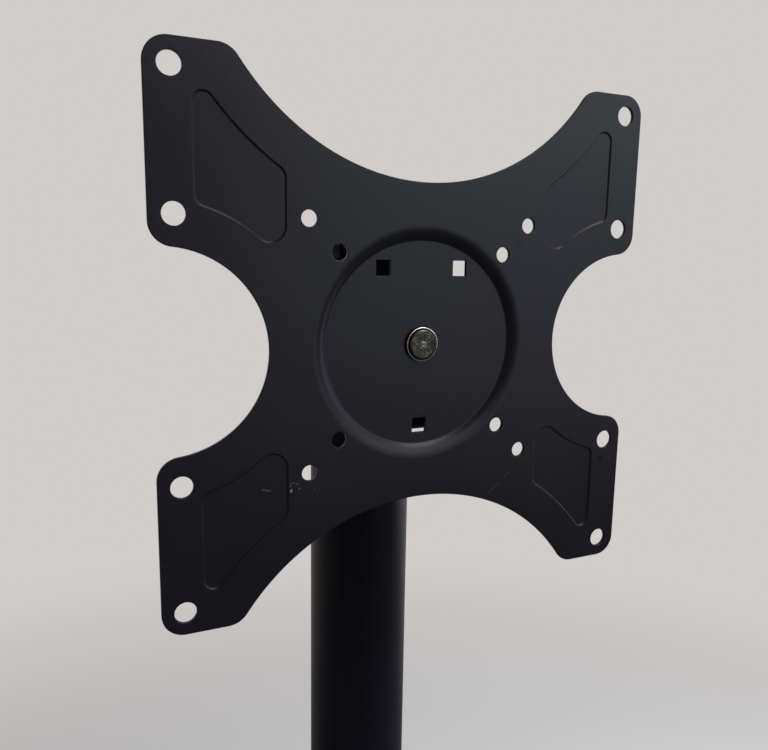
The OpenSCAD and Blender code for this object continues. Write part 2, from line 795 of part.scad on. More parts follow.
// Clamp knob: a star knob moulded round a screw, whose end presses on the mast
knob_hub_d = 22;
knob_hub_h = 8;
knob_hollow_r = 8;
knob_hollow_bite = 4;
knob_cap_d = 18;
knob_cap_h = 1.6;
knob_cap_sunk = 0.8;
knob_foot = boss_end + clamp_screw_free;
knob_face = knob_foot + knob_hub_h + knob_h;
screw_end = knob_face - knob_h / 2;

module along_clamp(from) {
    translate([0, from, clamp_z]) rotate([-90, 0, 0]) children();
}

module height_knob() {
    bore = clamp_screw_d + 2 * seated;
    color([0.03, 0.03, 0.032]) difference() {
        union() {
            along_clamp(knob_foot) cylinder(d = knob_hub_d, h = knob_hub_h);
            along_clamp(knob_foot + knob_hub_h) cylinder(d = knob_d, h = knob_h);
        }
        for (i = [0:knob_hollows - 1]) along_clamp(knob_foot + knob_hub_h - cut)
            rotate([0, 0, i * 360 / knob_hollows])
                translate([knob_d / 2 + knob_hollow_r - knob_hollow_bite, 0, 0])
                    cylinder(r = knob_hollow_r, h = knob_h + 2 * cut);
        along_clamp(knob_foot - cut) cylinder(d = bore, h = screw_end - knob_foot + cut);
        along_clamp(knob_face - knob_cap_sunk) cylinder(d = knob_cap_d + 2 * seated, h = knob_cap_sunk + cut);
    }
}

module height_knob_cap() {
    color([0.2, 0.2, 0.21]) along_clamp(knob_face - knob_cap_sunk) rotate_extrude() polygon([
        [0, 0], [knob_cap_d / 2, 0], [knob_cap_d / 2, knob_cap_sunk],
        [knob_cap_d / 2 - knob_cap_sunk, knob_cap_h], [0, knob_cap_h]
    ]);
}

module height_screw() {
    color([0.6, 0.6, 0.62]) along_clamp(mast_r + slip) cylinder(d = clamp_screw_d, h = screw_end - mast_r - slip);
}

// Base: a heavy steel plate on rubber feet, with the column's flange screwed down on it
flange_head_h = 5.3;
flange_head_af = 13;
screw_short = 1;
foot_inset = 40;
foot_chamfer = 1.5;
foot_screw_d = 5;
foot_screw_head_d = 10;
foot_screw_head_h = 2.5;
foot_recess_d = 14;
foot_web = 2;
foot_screw_l = 5;

module at_feet() {
    for (sx = [-1, 1], sy = [-1, 1])
        translate([sx * (base_w / 2 - foot_inset), sy * (base_l / 2 - foot_inset), 0]) children();
}

module base_plate() {
    color([0.05, 0.05, 0.055]) translate([0, 0, foot_h]) difference() {
        linear_extrude(base_t) rounded_rectangle(base_w, base_l, base_corner_r);
        around_flange() translate([0, 0, -cut]) cylinder(d = flange_screw_d + 2 * seated, h = base_t + 2 * cut);
        at_feet() translate([0, 0, -cut]) cylinder(d = foot_screw_d + 2 * seated, h = foot_screw_l + cut + slip);
    }
}

module base_feet() {
    color([0.08, 0.08, 0.08]) at_feet() rotate_extrude() polygon([
        [foot_recess_d / 2, 0], [foot_d / 2 - foot_chamfer, 0], [foot_d / 2, foot_chamfer],
        [foot_d / 2, foot_h], [foot_screw_d / 2 + seated, foot_h], [foot_screw_d / 2 + seated, foot_h - foot_web],
        [foot_recess_d / 2, foot_h - foot_web]
    ]);
}

module foot_screws() {
    seat = foot_h - foot_web;
    color([0.6, 0.6, 0.62]) at_feet() {
        translate([0, 0, seat - foot_screw_head_h]) cylinder(d = foot_screw_head_d, h = foot_screw_head_h);
        translate([0, 0, seat]) cylinder(d = foot_screw_d, h = foot_web + foot_screw_l);
    }
}

module flange_screws() {
    color([0.6, 0.6, 0.62]) around_flange() {
        translate([0, 0, foot_h + screw_short])
            cylinder(d = flange_screw_d, h = base_t - screw_short + flange_t);
        translate([0, 0, base_top + flange_t]) hexagon(flange_head_af, flange_head_h);
    }
}

// Flange cover: a moulded plastic dome that hides the flange and its screws
cover_wall = 2.4;
cover_edge_h = 5;
cover_shoulder = 6;
cover_shoulder_h = 10;
cover_fit = 0.4;

module flange_cover() {
    rim_r = cover_d / 2;
    neck_r = column_d / 2 + cover_fit;
    shoulder = rim_r - cover_shoulder;
    shoulder_z = cover_edge_h + cover_shoulder_h;
    color([0.04, 0.04, 0.042]) translate([0, 0, base_top]) rotate_extrude() polygon([
        [rim_r - cover_wall, 0], [rim_r, 0], [rim_r, cover_edge_h], [shoulder, shoulder_z],
        [neck_r + cover_wall, cover_h], [neck_r, cover_h], [neck_r, cover_h - cover_wall],
        [shoulder - cover_wall, shoulder_z - cover_wall], [rim_r - cover_wall, cover_edge_h]
    ]);
}

base_plate();
base_feet();
foot_screws();
lower_column();
flange_screws();
flange_cover();
column_bush();
clamp_collar();
collar_screws();
height_knob();
height_knob_cap();
height_screw();
upper_tube();
mast_guide();
guide_rivets();
top_cap();
thrust_ring();
thrust_ring_screw();
slip_ring();
head_sleeve();
sleeve_liner();
tilt_screws();
tilt_nuts();
tilt_friction_washers();
tilt_washers();
guide_bolt();
guide_nut();
guide_spacer();
guide_washers();
tilt_bracket();
pivot_hub();
pivot_bolt();
pivot_washer();
front_slip_washer();
rear_slip_washer();
spring_washers();
pivot_nut();
vesa_plate();
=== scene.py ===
"""A floor stand for a television: its looks, piece by piece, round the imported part. Sizes in the sections are in mm."""

from math import acos, atan2, ceil, cos, degrees, pi, radians, sin, sqrt, tan

import bmesh
import bpy
from mathutils import Euler, Matrix, Vector
from mathutils.geometry import delaunay_2d_cdt


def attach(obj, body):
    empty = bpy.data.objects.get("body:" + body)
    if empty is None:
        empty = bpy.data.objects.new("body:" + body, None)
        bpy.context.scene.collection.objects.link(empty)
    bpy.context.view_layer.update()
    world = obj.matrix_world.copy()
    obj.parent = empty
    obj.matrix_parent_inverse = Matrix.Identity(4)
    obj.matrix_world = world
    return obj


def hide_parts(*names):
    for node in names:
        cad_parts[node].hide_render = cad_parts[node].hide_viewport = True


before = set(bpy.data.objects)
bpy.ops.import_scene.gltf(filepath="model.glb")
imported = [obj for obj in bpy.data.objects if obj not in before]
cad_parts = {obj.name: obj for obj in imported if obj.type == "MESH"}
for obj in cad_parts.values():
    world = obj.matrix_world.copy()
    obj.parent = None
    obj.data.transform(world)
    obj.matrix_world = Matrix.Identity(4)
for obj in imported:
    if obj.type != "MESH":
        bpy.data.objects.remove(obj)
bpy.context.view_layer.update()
scene = bpy.context.scene
scene.view_settings.view_transform = "Standard"

# Camera: held just left of the plate and a little above it, as in the photograph, with a short lens. Its place in
# metres, its turns in degrees and its focal length, in pixels of the frame, were solved from the plate's round holes.
camera_at = (-0.14105, -0.33597, 1.23949)
camera_yaw, camera_pitch, camera_roll = 24.6578, -9.5048, 0.9208
focal_pixels, frame_pixels, sensor = 729.25, 768, 36


def linked(name, data):
    """A new object in the scene."""
    thing = bpy.data.objects.new(name, data)
    scene.collection.objects.link(thing)
    return thing


camera = linked("camera", bpy.data.cameras.new("camera"))
camera.data.sensor_fit, camera.data.sensor_width = "HORIZONTAL", sensor
camera.data.lens = sensor * focal_pixels / frame_pixels
aim = Euler((radians(90 + camera_pitch), 0, radians(-camera_yaw))).to_matrix().to_4x4()
camera.matrix_world = Matrix.Translation(camera_at) @ aim @ Matrix.Rotation(radians(camera_roll), 4, "Z")
scene.camera = camera


# Studio: a pale floor that fades into a pale surround. Two lamps stand at the front right, high and at the plate's
# height, others hang overhead, high in front and large and cool at the right, and weak ones fill the left and the back.
# Node trees are written as expressions on the sockets that carry their values.
class Field:
    """One output socket of a node tree. Arithmetic on it adds Math nodes."""

    def __init__(self, tree, socket=None):
        self.tree, self.socket = tree, socket

    def node(self, kind, settings=(), inputs=(), output=0):
        """Add a node: its settings first, then values or links for its sockets, and give back one of its outputs."""
        made = self.tree.nodes.new(kind)
        for key, value in dict(settings).items():
            setattr(made, key, value)
        for key, value in inputs.items() if isinstance(inputs, dict) else enumerate(inputs):
            self.plug(made.inputs[key], value)
        return Field(self.tree, made.outputs[output])

    def plug(self, socket, value):
        if isinstance(value, Field):
            self.tree.links.new(value.socket, socket)
        else:
            socket.default_value = value

    def math(self, operation, *values):
        return self.node("ShaderNodeMath", {"operation": operation}, values)

    def vector(self, operation, *values):
        """Vector Math, of which a length and a dot product are numbers."""
        output = "Value" if operation in ("LENGTH", "DOT_PRODUCT") else "Vector"
        return self.node("ShaderNodeVectorMath", {"operation": operation}, values, output)

    def __add__(self, other):
        return self.math("ADD", self, other)

    def __sub__(self, other):
        return self.math("SUBTRACT", self, other)

    def __rsub__(self, other):
        return self.math("SUBTRACT", other, self)

    def __mul__(self, other):
        return self.math("MULTIPLY", self, other)

    def __truediv__(self, other):
        return self.math("DIVIDE", self, other)

    __radd__, __rmul__ = __add__, __mul__

    def capped(self):
        return self.math("MINIMUM", self, 1.0)

    def length(self):
        return self.vector("LENGTH", self)

    def step(self, low, high, start=0.0, end=1.0):
        """Start below low, end above high, and a smooth ramp between them."""
        return self.node("ShaderNodeMapRange", {"interpolation_type": "SMOOTHSTEP"}, (self, low, high, start, end))

    def between(self, first, second):
        """A colour mixed from two by this value."""
        return self.node("ShaderNodeMix", {"data_type": "RGBA"}, {0: self, 6: first, 7: second}, 2)


class Finish(Field):
    """A material's tree, on Object coordinates."""

    def __init__(self, name):
        self.material = bpy.data.materials.new(name)
        self.material.use_nodes = True
        super().__init__(self.material.node_tree)
        self.shader = self.tree.nodes["Principled BSDF"]
        self.place = self.node("ShaderNodeTexCoord", output="Object")

    def noise(self, scale, detail, roughness=0.5):
        inputs = {"Vector": self.place, "Scale": scale, "Detail": detail, "Roughness": roughness}
        return self.node("ShaderNodeTexNoise", {}, inputs)

    def about(self, centre):
        """Coordinates counted from a centre on the piece."""
        return self.node("ShaderNodeMapping", {}, {"Vector": self.place, "Location": [-c for c in centre]})

    def relief(self, height, depth):
        """A bump of the given depth in metres."""
        self.set(Normal=self.node("ShaderNodeBump", {}, {"Strength": 1.0, "Distance": depth, "Height": height}))

    def set(self, **values):
        for name, value in values.items():
            self.plug(self.shader.inputs[name.replace("_", " ")], value)


surround = (0.63, 0.61, 0.595, 1)
room_colour, room_strength = (0.52, 0.53, 0.55, 1), 0.35
world = bpy.data.worlds.new("surround")
scene.world = world
world.use_nodes = True
sky = Field(world.node_tree)
rays = sky.node("ShaderNodeLightPath").socket.node.outputs
camera_ray, glossy_ray, clear_ray = (
    Field(sky.tree, rays[f"Is {kind} Ray"]) for kind in ("Camera", "Glossy", "Transmission"))
seen = (camera_ray + glossy_ray + clear_ray).capped()
# A gloss sees that surround behind the stand, and a dimmer room on the side that the photograph was taken from.
past_stand = (0.55, 0.83, 0)
heading = sky.vector("DOT_PRODUCT", sky.node("ShaderNodeTexCoord", output="Object"), past_stand)
depth = heading.step(-0.6, 0.75, 0.05, 1.0)
room = sky.node("ShaderNodeBackground", {}, (room_colour, room_strength))
pale = sky.node("ShaderNodeBackground", {}, (surround, 1.0 - glossy_ray * (1.0 - depth)))
surface = sky.node("ShaderNodeMixShader", {}, (seen, room, pale))
sky.plug(world.node_tree.nodes["World Output"].inputs[0], surface)

floor_half, fade_from, fade_to = 14, 0.8, 2.6
floor_lit, floor_mirrored = (0.72, 0.68, 0.645, 1), (0.12, 0.117, 0.114, 1)
floor_mesh = bpy.data.meshes.new("floor")
floor_corners = [(x * floor_half, y * floor_half, 0) for x, y in ((-1, -1), (1, -1), (1, 1), (-1, 1))]
floor_mesh.from_pydata(floor_corners, [], [(0, 1, 2, 3)])
floor = linked("floor", floor_mesh)
pale_floor = Finish("pale_floor")
away = pale_floor.place.length()
# A gloss sees the floor as dim as the photograph's room, and dimmer still on the side that it was taken from.
in_gloss = pale_floor.node("ShaderNodeLightPath", output="Is Glossy Ray")
behind = pale_floor.node("ShaderNodeSeparateXYZ", {}, (pale_floor.place,), "Y").step(-2.4, 1.4, 0.07, 1.0)
pale_floor.set(Base_Color=in_gloss.between(floor_lit, floor_mirrored), Roughness=0.85, Specular_IOR_Level=0.2)
glow = pale_floor.node("ShaderNodeEmission", {}, (surround, 1.0 - in_gloss * (1.0 - behind)))
lit = Field(pale_floor.tree, pale_floor.shader.outputs[0])
faded = pale_floor.node("ShaderNodeMixShader", {}, (away.step(fade_from, fade_to), lit, glow))
pale_floor.plug(pale_floor.tree.nodes["Material Output"].inputs[0], faded)
floor_mesh.materials.append(pale_floor.material)

# Each lamp: place, height on the axis that it faces, width and height (all in metres), watts and colour.
for name, at, aim_z, wide, high, power, colour in (
    ("key", (1.30, -1.75, 2.05), 1.2, 1.7, 1.0, 25, (0.82, 0.91, 1.0)),
    ("level", (1.00, -1.90, 1.10), 1.2, 1.4, 0.7, 8.5, (0.78, 0.89, 1.0)),
    ("overhead", (0.75, -0.75, 2.75), 1.1, 0.9, 0.9, 32, (0.98, 0.98, 1.0)),
    ("high", (0.20, -2.00, 2.35), 1.2, 1.0, 0.7, 9, (0.94, 0.95, 1.0)),
    ("side", (1.90, 0.10, 1.40), 1.2, 1.2, 1.7, 25, (0.70, 0.82, 1.0)),
    ("fill", (-2.3, -1.5, 1.5), 0.8, 2.0, 2.0, 4, (1.0, 0.93, 0.88)),
    ("back", (-0.6, 2.4, 2.2), 0.9, 1.8, 1.8, 5, (1.0, 1.0, 1.0)),
):
    lamp = bpy.data.lights.new(name, "AREA")
    lamp.shape, lamp.size, lamp.size_y, lamp.energy, lamp.color = "RECTANGLE", wide, high, power, colour
    held = linked(name, lamp)
    held.visible_camera, held.location = False, at
    held.rotation_euler = (Vector((0, 0, aim_z)) - Vector(at)).to_track_quat("-Z", "Y").to_euler()

# Base plate: 8 mm steel plate, laser-cut, its edges broken with a wheel and the whole powder-coated black.
# Its four tapped holes underneath take the feet, and four more the flange screws.
mm = 0.001
base_w, base_l, base_t, base_corner, base_edge, foot_h = 520, 420, 8, 48, 0.9, 6
flange_pcd, flange_hole_r, foot_inset, foot_bore_r, foot_bore_depth = 98, 4.05, 40, 2.55, 5.2
base_foot, base_top, foot_bore_top = foot_h, foot_h + base_t, foot_h + foot_bore_depth


# An outline is a row of arcs (x, y, radius, from, to), joined by straight edges: anticlockwise, and back at a hollow.
def loop(outline, inset=0.0):
    """An outline's points, with the edge moved in: a round corner tightens, and a hollow one widens."""
    off_arc, coarsest = 0.012, 0.1  # how far an edge may lie inside its arc: in mm, and as a share of the radius
    points = []
    for x, y, r, start, end in outline:
        count = max(2, ceil(abs(end - start) / degrees(2 * acos(1 - min(off_arc / r, coarsest)))))
        moved = r - inset if end > start else r + inset
        for i in range(count if abs(end - start) == 360 else count + 1):
            a = radians(start + (end - start) * i / count)
            points.append((x + moved * cos(a), y + moved * sin(a)))
    return points


def circle(x, y, r):
    return ((x, y, r, 0, 360),)


def rectangle(w, l, r, x=0.0, y=0.0):
    return tuple((x + sx * (w / 2 - r), y + sy * (l / 2 - r), r, a, a + 90)
                 for sx, sy, a in ((1, 1, 0), (-1, 1, 90), (-1, -1, 180), (1, -1, 270)))


def inside(point, ring):
    (x, y), crossed = point, False
    for (x0, y0), (x1, y1) in zip(ring, ring[1:] + ring[:1]):
        if (y0 > y) != (y1 > y) and x < x0 + (y - y0) * (x1 - x0) / (y1 - y0):
            crossed = not crossed
    return crossed


class Form:
    """A closed mesh, gathered from bands round a piece and flats between loops."""

    def __init__(self):
        self.bm = bmesh.new()

    def band(self, rows, wrap=False):
        """Skin rows of points, each closed on itself; a row of one point is a pole."""
        made = [[self.bm.verts.new(Vector(p) * mm) for p in row] for row in rows]
        for low, high in zip(made, made[1:] + made[:1] if wrap else made[1:]):
            for i in range(max(len(low), len(high))):
                j = (i + 1) % max(len(low), len(high))
                face = [low[i % len(low)], low[j % len(low)], high[j % len(high)], high[i % len(high)]]
                self.bm.faces.new(dict.fromkeys(face))

    def flat(self, loops, put):
        """Fill the plane between an outer loop and those within it."""
        points, faces = [], []
        for ring in loops:
            faces.append(list(range(len(points), len(points) + len(ring))))
            points += ring
        edges = [(a, b) for ring in faces for a, b in zip(ring, ring[1:] + ring[:1])]
        at, _, found, *_ = delaunay_2d_cdt([Vector(p) for p in points], edges, [], 0, 1e-6)
        verts = [self.bm.verts.new(Vector(put(*p)) * mm) for p in at]
        for tri in found:
            middle = sum((at[i] for i in tri), Vector((0, 0))) / 3
            if sum(inside(middle, ring) for ring in loops) == 1:
                self.bm.faces.new([verts[i] for i in tri])

    def rim(self, outline, profile, put, grow=1):
        """Follow an outline with an edge profile of (inset, height) steps. Round a hole, grow is -1."""
        self.band([[put(*p, h) for p in loop(outline, grow * d)] for d, h in profile])

    def made(self, name, material, sharp=40.0, bevel=0.0):
        bmesh.ops.remove_doubles(self.bm, verts=self.bm.verts, dist=1e-7)
        bmesh.ops.recalc_face_normals(self.bm, faces=self.bm.faces)
        mesh = bpy.data.meshes.new(name)
        self.bm.to_mesh(mesh)
        self.bm.free()
        return shown(name, mesh, material, sharp, bevel)


def shown(name, mesh, material, sharp, bevel):
    """An object of a mesh: smooth, with sharp creases kept or given a small bevel."""
    mesh.materials.clear()
    mesh.materials.append(material)
    mesh.shade_smooth()
    thing = linked(name, mesh)
    if bevel:
        edge = thing.modifiers.new("edge", "BEVEL")
        edge.width, edge.segments, edge.limit_method, edge.angle_limit = bevel * mm, 2, "ANGLE", radians(sharp)
    else:
        mesh.set_sharp_from_angle(angle=radians(sharp))
    thing.modifiers.new("shade", "WEIGHTED_NORMAL").keep_sharp = True
    return thing


def fitted(body, *pieces):
    """Each piece rides on its body and stands for its node, which is hidden. The slot given with it is not used."""
    for piece, node, slot in pieces:
        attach(piece, body)
        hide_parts(node)


def broken_edge(edge, top, bottom, steps=3):
    """The profile of a plate's edge, round at both faces."""
    turn = [radians(90 * i / steps) for i in range(steps + 1)]
    upper = [(edge * (1 - sin(a)), top - edge * (1 - cos(a))) for a in turn]
    return upper + [(d, bottom + top - h) for d, h in reversed(upper)]


def upright(x, y, z):
    return x, y, z


def powder_coat(name, colour, patch, rough, shine, marks=None):
    """Baked powder coat: a fine peel, a finer grit in it, and patches that shine less."""
    coat = Finish(name)
    patches, peel, grit = coat.noise(patch, 3.0), coat.noise(620, 1.5), coat.noise(3100, 1.0)
    cloud = patches.step(0.3, 0.7)
    tint = cloud.between([c * 0.82 for c in colour] + [1], [c * 1.2 for c in colour] + [1])
    gloss = rough + 0.07 * cloud + 0.08 * (grit - 0.5)
    if marks:
        tint, gloss = marks(coat, tint, gloss)
    coat.set(Base_Color=tint, Roughness=gloss, Specular_IOR_Level=shine)
    coat.relief(0.7 * peel + 0.3 * grit, 0.00004)
    return coat.material


black_coat = powder_coat("black_powder_coat", (0.0030, 0.0023, 0.0048), patch=6.0, rough=0.36, shine=0.10)
base = Form()
base_outline = rectangle(base_w, base_l, base_corner)
base_bores = [circle(flange_pcd / 2 * cos(radians(a)), flange_pcd / 2 * sin(radians(a)), flange_hole_r)
              for a in (45, 135, 225, 315)]
foot_places = [(sx * (base_w / 2 - foot_inset), sy * (base_l / 2 - foot_inset)) for sx in (-1, 1) for sy in (-1, 1)]
foot_bores = [circle(x, y, foot_bore_r) for x, y in foot_places]
base.rim(base_outline, broken_edge(base_edge, base_top, base_foot), upright)
for bore in base_bores:
    base.rim(bore, [(0, base_top), (0, base_foot)], upright)
for bore in foot_bores:
    base.rim(bore, [(0, base_foot), (0, foot_bore_top)], upright)
    base.flat([loop(bore)], lambda x, y: (x, y, foot_bore_top))
base_face, base_holes = loop(base_outline, base_edge), [loop(bore) for bore in base_bores]
base.flat([base_face] + base_holes, lambda x, y: (x, y, base_top))
base.flat([base_face] + base_holes + [loop(bore) for bore in foot_bores], lambda x, y: (x, y, base_foot))
base_plate = base.made("base_plate_coated", black_coat)
fitted("base", (base_plate, "base_plate", "black_powder_coat"))

# Feet: moulded rubber pucks with a recess underneath. A zinc-plated M5 pan-head screw goes up through each puck's
# web and holds it to the base plate.
foot_d, foot_recess_d, foot_web, foot_chamfer, foot_hole_r = 38, 14, 2, 1.5, 2.6
screw_r, screw_l, screw_point = 2.5, 5, 0.3
pan_r, pan_top_r, pan_side, pan_h, drive_r, drive_foot_r, drive_depth = 5, 3.6, 1.2, 2.5, 2, 1.6, 1.4


def rounded(corners):
    """A profile's points from its corners (r, z, rounding)."""
    steps = 4
    points = []
    for i, (r, z, size) in enumerate(corners):
        here = Vector((r, z))
        if not size:
            points.append(here)
            continue
        back = (Vector(corners[i - 1][:2]) - here).normalized()
        on = (Vector(corners[(i + 1) % len(corners)][:2]) - here).normalized()
        half = back.angle(on) / 2
        centre = here + (back + on).normalized() * size / sin(half)
        start, end = here + back * size / tan(half) - centre, here + on * size / tan(half) - centre
        sweep = start.angle_signed(end)
        for k in range(steps + 1):
            a = atan2(start.y, start.x) - sweep * k / steps
            points.append(centre + size * Vector((cos(a), sin(a))))
    return points


def turned(corners, segments=64, closed=True, at=Matrix.Identity(4)):
    """A turned piece about Z from its profile's corners. A solid one starts and ends on the axis."""
    form = Form()
    rows = []
    for r, z in rounded(corners):
        count = segments if r > 1e-6 else 1
        rows.append([at @ Vector((r * cos(2 * pi * i / count), r * sin(2 * pi * i / count), z)) for i in range(count)])
    form.band(rows, wrap=closed)
    return form


def repeated(thing, tree, **inputs):
    """The plain mesh that a node tree makes of a thing."""
    inputs["Material"] = thing.data.materials[0]
    thing.modifiers.remove(thing.modifiers["shade"])
    modifier = thing.modifiers.new("repeat", "NODES")
    modifier.node_group = tree
    for item in tree.interface.items_tree:
        if item.in_out == "INPUT" and item.name in inputs:
            modifier[item.identifier] = inputs[item.name]
    result = bpy.data.meshes.new_from_object(thing.evaluated_get(bpy.context.evaluated_depsgraph_get()))
    name = thing.name
    bpy.data.objects.remove(thing)
    result.name = name
    plain = linked(name, result)
    plain.modifiers.new("shade", "WEIGHTED_NORMAL").keep_sharp = True
    return plain


def node_tree(name, sockets):
    """A Geometry Nodes tree with named inputs, and its input and output nodes."""
    tree = bpy.data.node_groups.new(name, "GeometryNodeTree")
    tree.interface.new_socket("Geometry", in_out="OUTPUT", socket_type="NodeSocketGeometry")
    for label, kind in (("Geometry", "Geometry"), *sockets, ("Material", "Material")):
        tree.interface.new_socket(label, in_out="INPUT", socket_type="NodeSocket" + kind)
    given = tree.nodes.new("NodeGroupInput").outputs
    return Field(tree), lambda label: Field(tree, given[label])


def tree_end(net, shape, material):
    """Every tree ends in real geometry with its material."""
    real = net.node("GeometryNodeRealizeInstances", {}, (shape,))
    done = net.node("GeometryNodeSetMaterial", {}, {"Geometry": real, "Material": material})
    net.plug(net.tree.nodes.new("NodeGroupOutput").inputs[0], done)
    return net.tree


net, given = node_tree("at_corners", (("Width", "Float"), ("Length", "Float")))
corners = net.node("GeometryNodeMeshGrid", {}, {
    "Size X": given("Width"), "Size Y": given("Length"), "Vertices X": 2, "Vertices Y": 2})
copies = net.node("GeometryNodeInstanceOnPoints", {}, {"Points": corners, "Instance": given("Geometry")})
at_corners = tree_end(net, copies, given("Material"))
foot_grid = {"Width": (base_w - 2 * foot_inset) * mm, "Length": (base_l - 2 * foot_inset) * mm}
rubber = Finish("black_rubber")
bloom, grain = rubber.noise(45, 4.0), rubber.noise(1900, 2.0)
rubber.set(Base_Color=bloom.step(0.35, 0.75).between((0.016, 0.016, 0.016, 1), (0.034, 0.033, 0.031, 1)),
           Roughness=0.78 + 0.14 * bloom, Specular_IOR_Level=0.3)
rubber.relief(grain, 0.00008)
foot_r, recess_r, foot_seat = foot_d / 2, foot_recess_d / 2, foot_h - foot_web
foot = turned([(recess_r, 0, 0.5), (foot_r - foot_chamfer, 0, 0.6), (foot_r, foot_chamfer, 0.6), (foot_r, foot_h, 0.3),
               (foot_hole_r, foot_h, 0), (foot_hole_r, foot_seat, 0.3), (recess_r, foot_seat, 0.5)])
feet = repeated(foot.made("rubber_feet", rubber.material), at_corners, **foot_grid)


def plated(name, colour, tinge, rough, shading=None):
    """Zinc plate on steel: a fine crystalline bloom, with a faint tinge that drifts over it."""
    zinc = Finish(name)
    drift, bloom, fine = zinc.noise(60, 2.0), zinc.noise(800, 3.0), zinc.noise(4200, 1.0)
    tint, gloss = drift.step(0.35, 0.65).between((*colour, 1), (*tinge, 1)), rough + 0.16 * bloom + 0.06 * fine
    # A finish may add painted shade over the plate's colour here.
    if shading:
        tint, gloss = shading(zinc, tint, gloss)
    zinc.set(Base_Color=tint, Metallic=1.0, Roughness=gloss)
    zinc.relief(0.6 * bloom + 0.4 * fine, 0.000012)
    return zinc.material


bright_zinc = plated("zinc_steel", (0.33, 0.335, 0.345), (0.40, 0.395, 0.37), rough=0.36)
screw_tip, pan_top, drive_floor = foot_h + screw_l, foot_seat - pan_h, foot_seat - pan_h + drive_depth
screw = turned([(0, screw_tip, 0), (screw_r - screw_point, screw_tip, 0.1), (screw_r, screw_tip - screw_point, 0.1),
                (screw_r, foot_seat, 0), (pan_r, foot_seat, 0.15), (pan_r, foot_seat - pan_side, 0.8),
                (pan_top_r, pan_top, 0.4), (drive_r, pan_top, 0.1), (drive_foot_r, drive_floor, 0.1),
                (0, drive_floor, 0)], 32, closed=False)
screws = repeated(screw.made("foot_screws_zinc", bright_zinc), at_corners, **foot_grid)
fitted("base", (feet, "base_feet", "black_rubber"), (screws, "foot_screws", "zinc_steel"))

# Column: a 60 mm steel tube welded into its foot flange and powder-coated with it. Four M8 hexagon screws hold the
# flange down on the base plate.
column_d, column_wall, column_top, flange_d, flange_t, weld_leg = 60, 2, 740, 128, 6, 3.0
m8_d, m8_flats, m8_head, flange_screw_tip = 8, 13, 5.3, foot_h + 1
column_r, bore_r, flange_r = column_d / 2, column_d / 2 - column_wall, flange_d / 2
flange_top = base_top + flange_t
column = turned([(bore_r, base_top, 0), (flange_r, base_top, 0.6), (flange_r, flange_top, 0.8),
                 (column_r, flange_top, weld_leg), (column_r, column_top, 0.4), (bore_r, column_top, 0.4)], 128)
column = column.made("column_tube", black_coat)


def hexagon(form, flats, low, high, at, bore=0.0):
    """A screw's head, or with a bore a nut. Its corners are turned off at the top, and on a nut at the foot as well."""
    count, chamfer = 48, 25
    angles = [2 * pi * i / count for i in range(count)]
    across = [flats / 2 / cos(a % (pi / 3) - pi / 6) for a in angles]
    land = flats / 2 * 0.95

    def ring(radii, heights):
        return [at @ Vector((r * cos(a), r * sin(a), h)) for r, a, h in zip(radii, angles, heights)]

    drop = [(r - land) * tan(radians(chamfer)) for r in across]
    rows = [ring(across, [high - d for d in drop]), ring([land] * count, [high] * count)]
    if bore:
        rows = [ring([land] * count, [low] * count), ring(across, [low + d for d in drop])] + rows
        rows += [ring([bore] * count, [high] * count), ring([bore] * count, [low] * count)]
    else:
        rows = [[at @ Vector((0, 0, low))], ring(across, [low] * count)] + rows + [[at @ Vector((0, 0, high))]]
    form.band(rows, wrap=bool(bore))
    return form


def hexagon_screw(d, flats, tip, seat, head, at):
    """A hexagon-head screw whose shank runs from its tip to the seat under the head."""
    r, point = d / 2, 0.8
    form = turned([(0, tip, 0), (r - point, tip, 0), (r, tip + point, 0), (r, seat, 0), (0, seat, 0)], 32, False, at)
    return hexagon(form, flats, seat, seat + head, at)


net, given = node_tree("round_an_axis", (("Count", "Int"), ("First", "Float"), ("Step", "Float"), ("Centre", "Vector")))
index = net.node("GeometryNodeInputIndex")
angle = given("First") + given("Step") * index
turn = net.node("FunctionNodeAxisAngleToRotation", {}, {"Axis": (0, 0, 1), "Angle": angle})
centred = net.node("GeometryNodeTransform", {}, {
    "Geometry": given("Geometry"), "Translation": net.vector("MULTIPLY", given("Centre"), (-1, -1, -1))})
points = net.node("GeometryNodeMeshLine", {}, {
    "Count": given("Count"), "Start Location": given("Centre"), "Offset": (0, 0, 0)})
copies = net.node("GeometryNodeInstanceOnPoints", {}, {"Points": points, "Instance": centred, "Rotation": turn})
round_an_axis = tree_end(net, copies, given("Material"))
flange_screw = hexagon_screw(m8_d, m8_flats, flange_screw_tip, flange_top, m8_head,
                             Matrix.Translation((flange_pcd / 2, 0, 0)))
flange_screws = repeated(flange_screw.made("flange_screws_zinc", bright_zinc, sharp=30, bevel=0.12), round_an_axis,
                         Count=4, First=pi / 4, Step=pi / 2, Centre=(0, 0, 0))
fitted("base", (column, "lower_column", "black_powder_coat"), (flange_screws, "flange_screws", "zinc_steel"))

# Flange cover: an injection-moulded shell of black plastic with a spark-eroded grain. It is pushed down over the tube
# and hides the flange and its screws.
cover_d, cover_h, cover_wall, cover_band, cover_shoulder, cover_slope, cover_gap = 148, 25, 2.4, 5, 15, 6, 0.4


def moulded(name, colour, rough=0.48, depth=0.00005):
    """Moulded plastic: an eroded grain, and a faint cloudiness where it is handled."""
    plastic = Finish(name)
    cloud, grain = plastic.noise(14, 3.0), plastic.noise(1500, 2.0, 0.6)
    worn = cloud.step(0.42, 0.7)
    plastic.set(Base_Color=worn.between([c * 0.9 for c in colour] + [1], [c * 1.25 for c in colour] + [1]),
                Roughness=rough + 0.12 * (grain - 0.5) - 0.08 * worn, Specular_IOR_Level=0.2)
    plastic.relief(grain, depth)
    return plastic.material


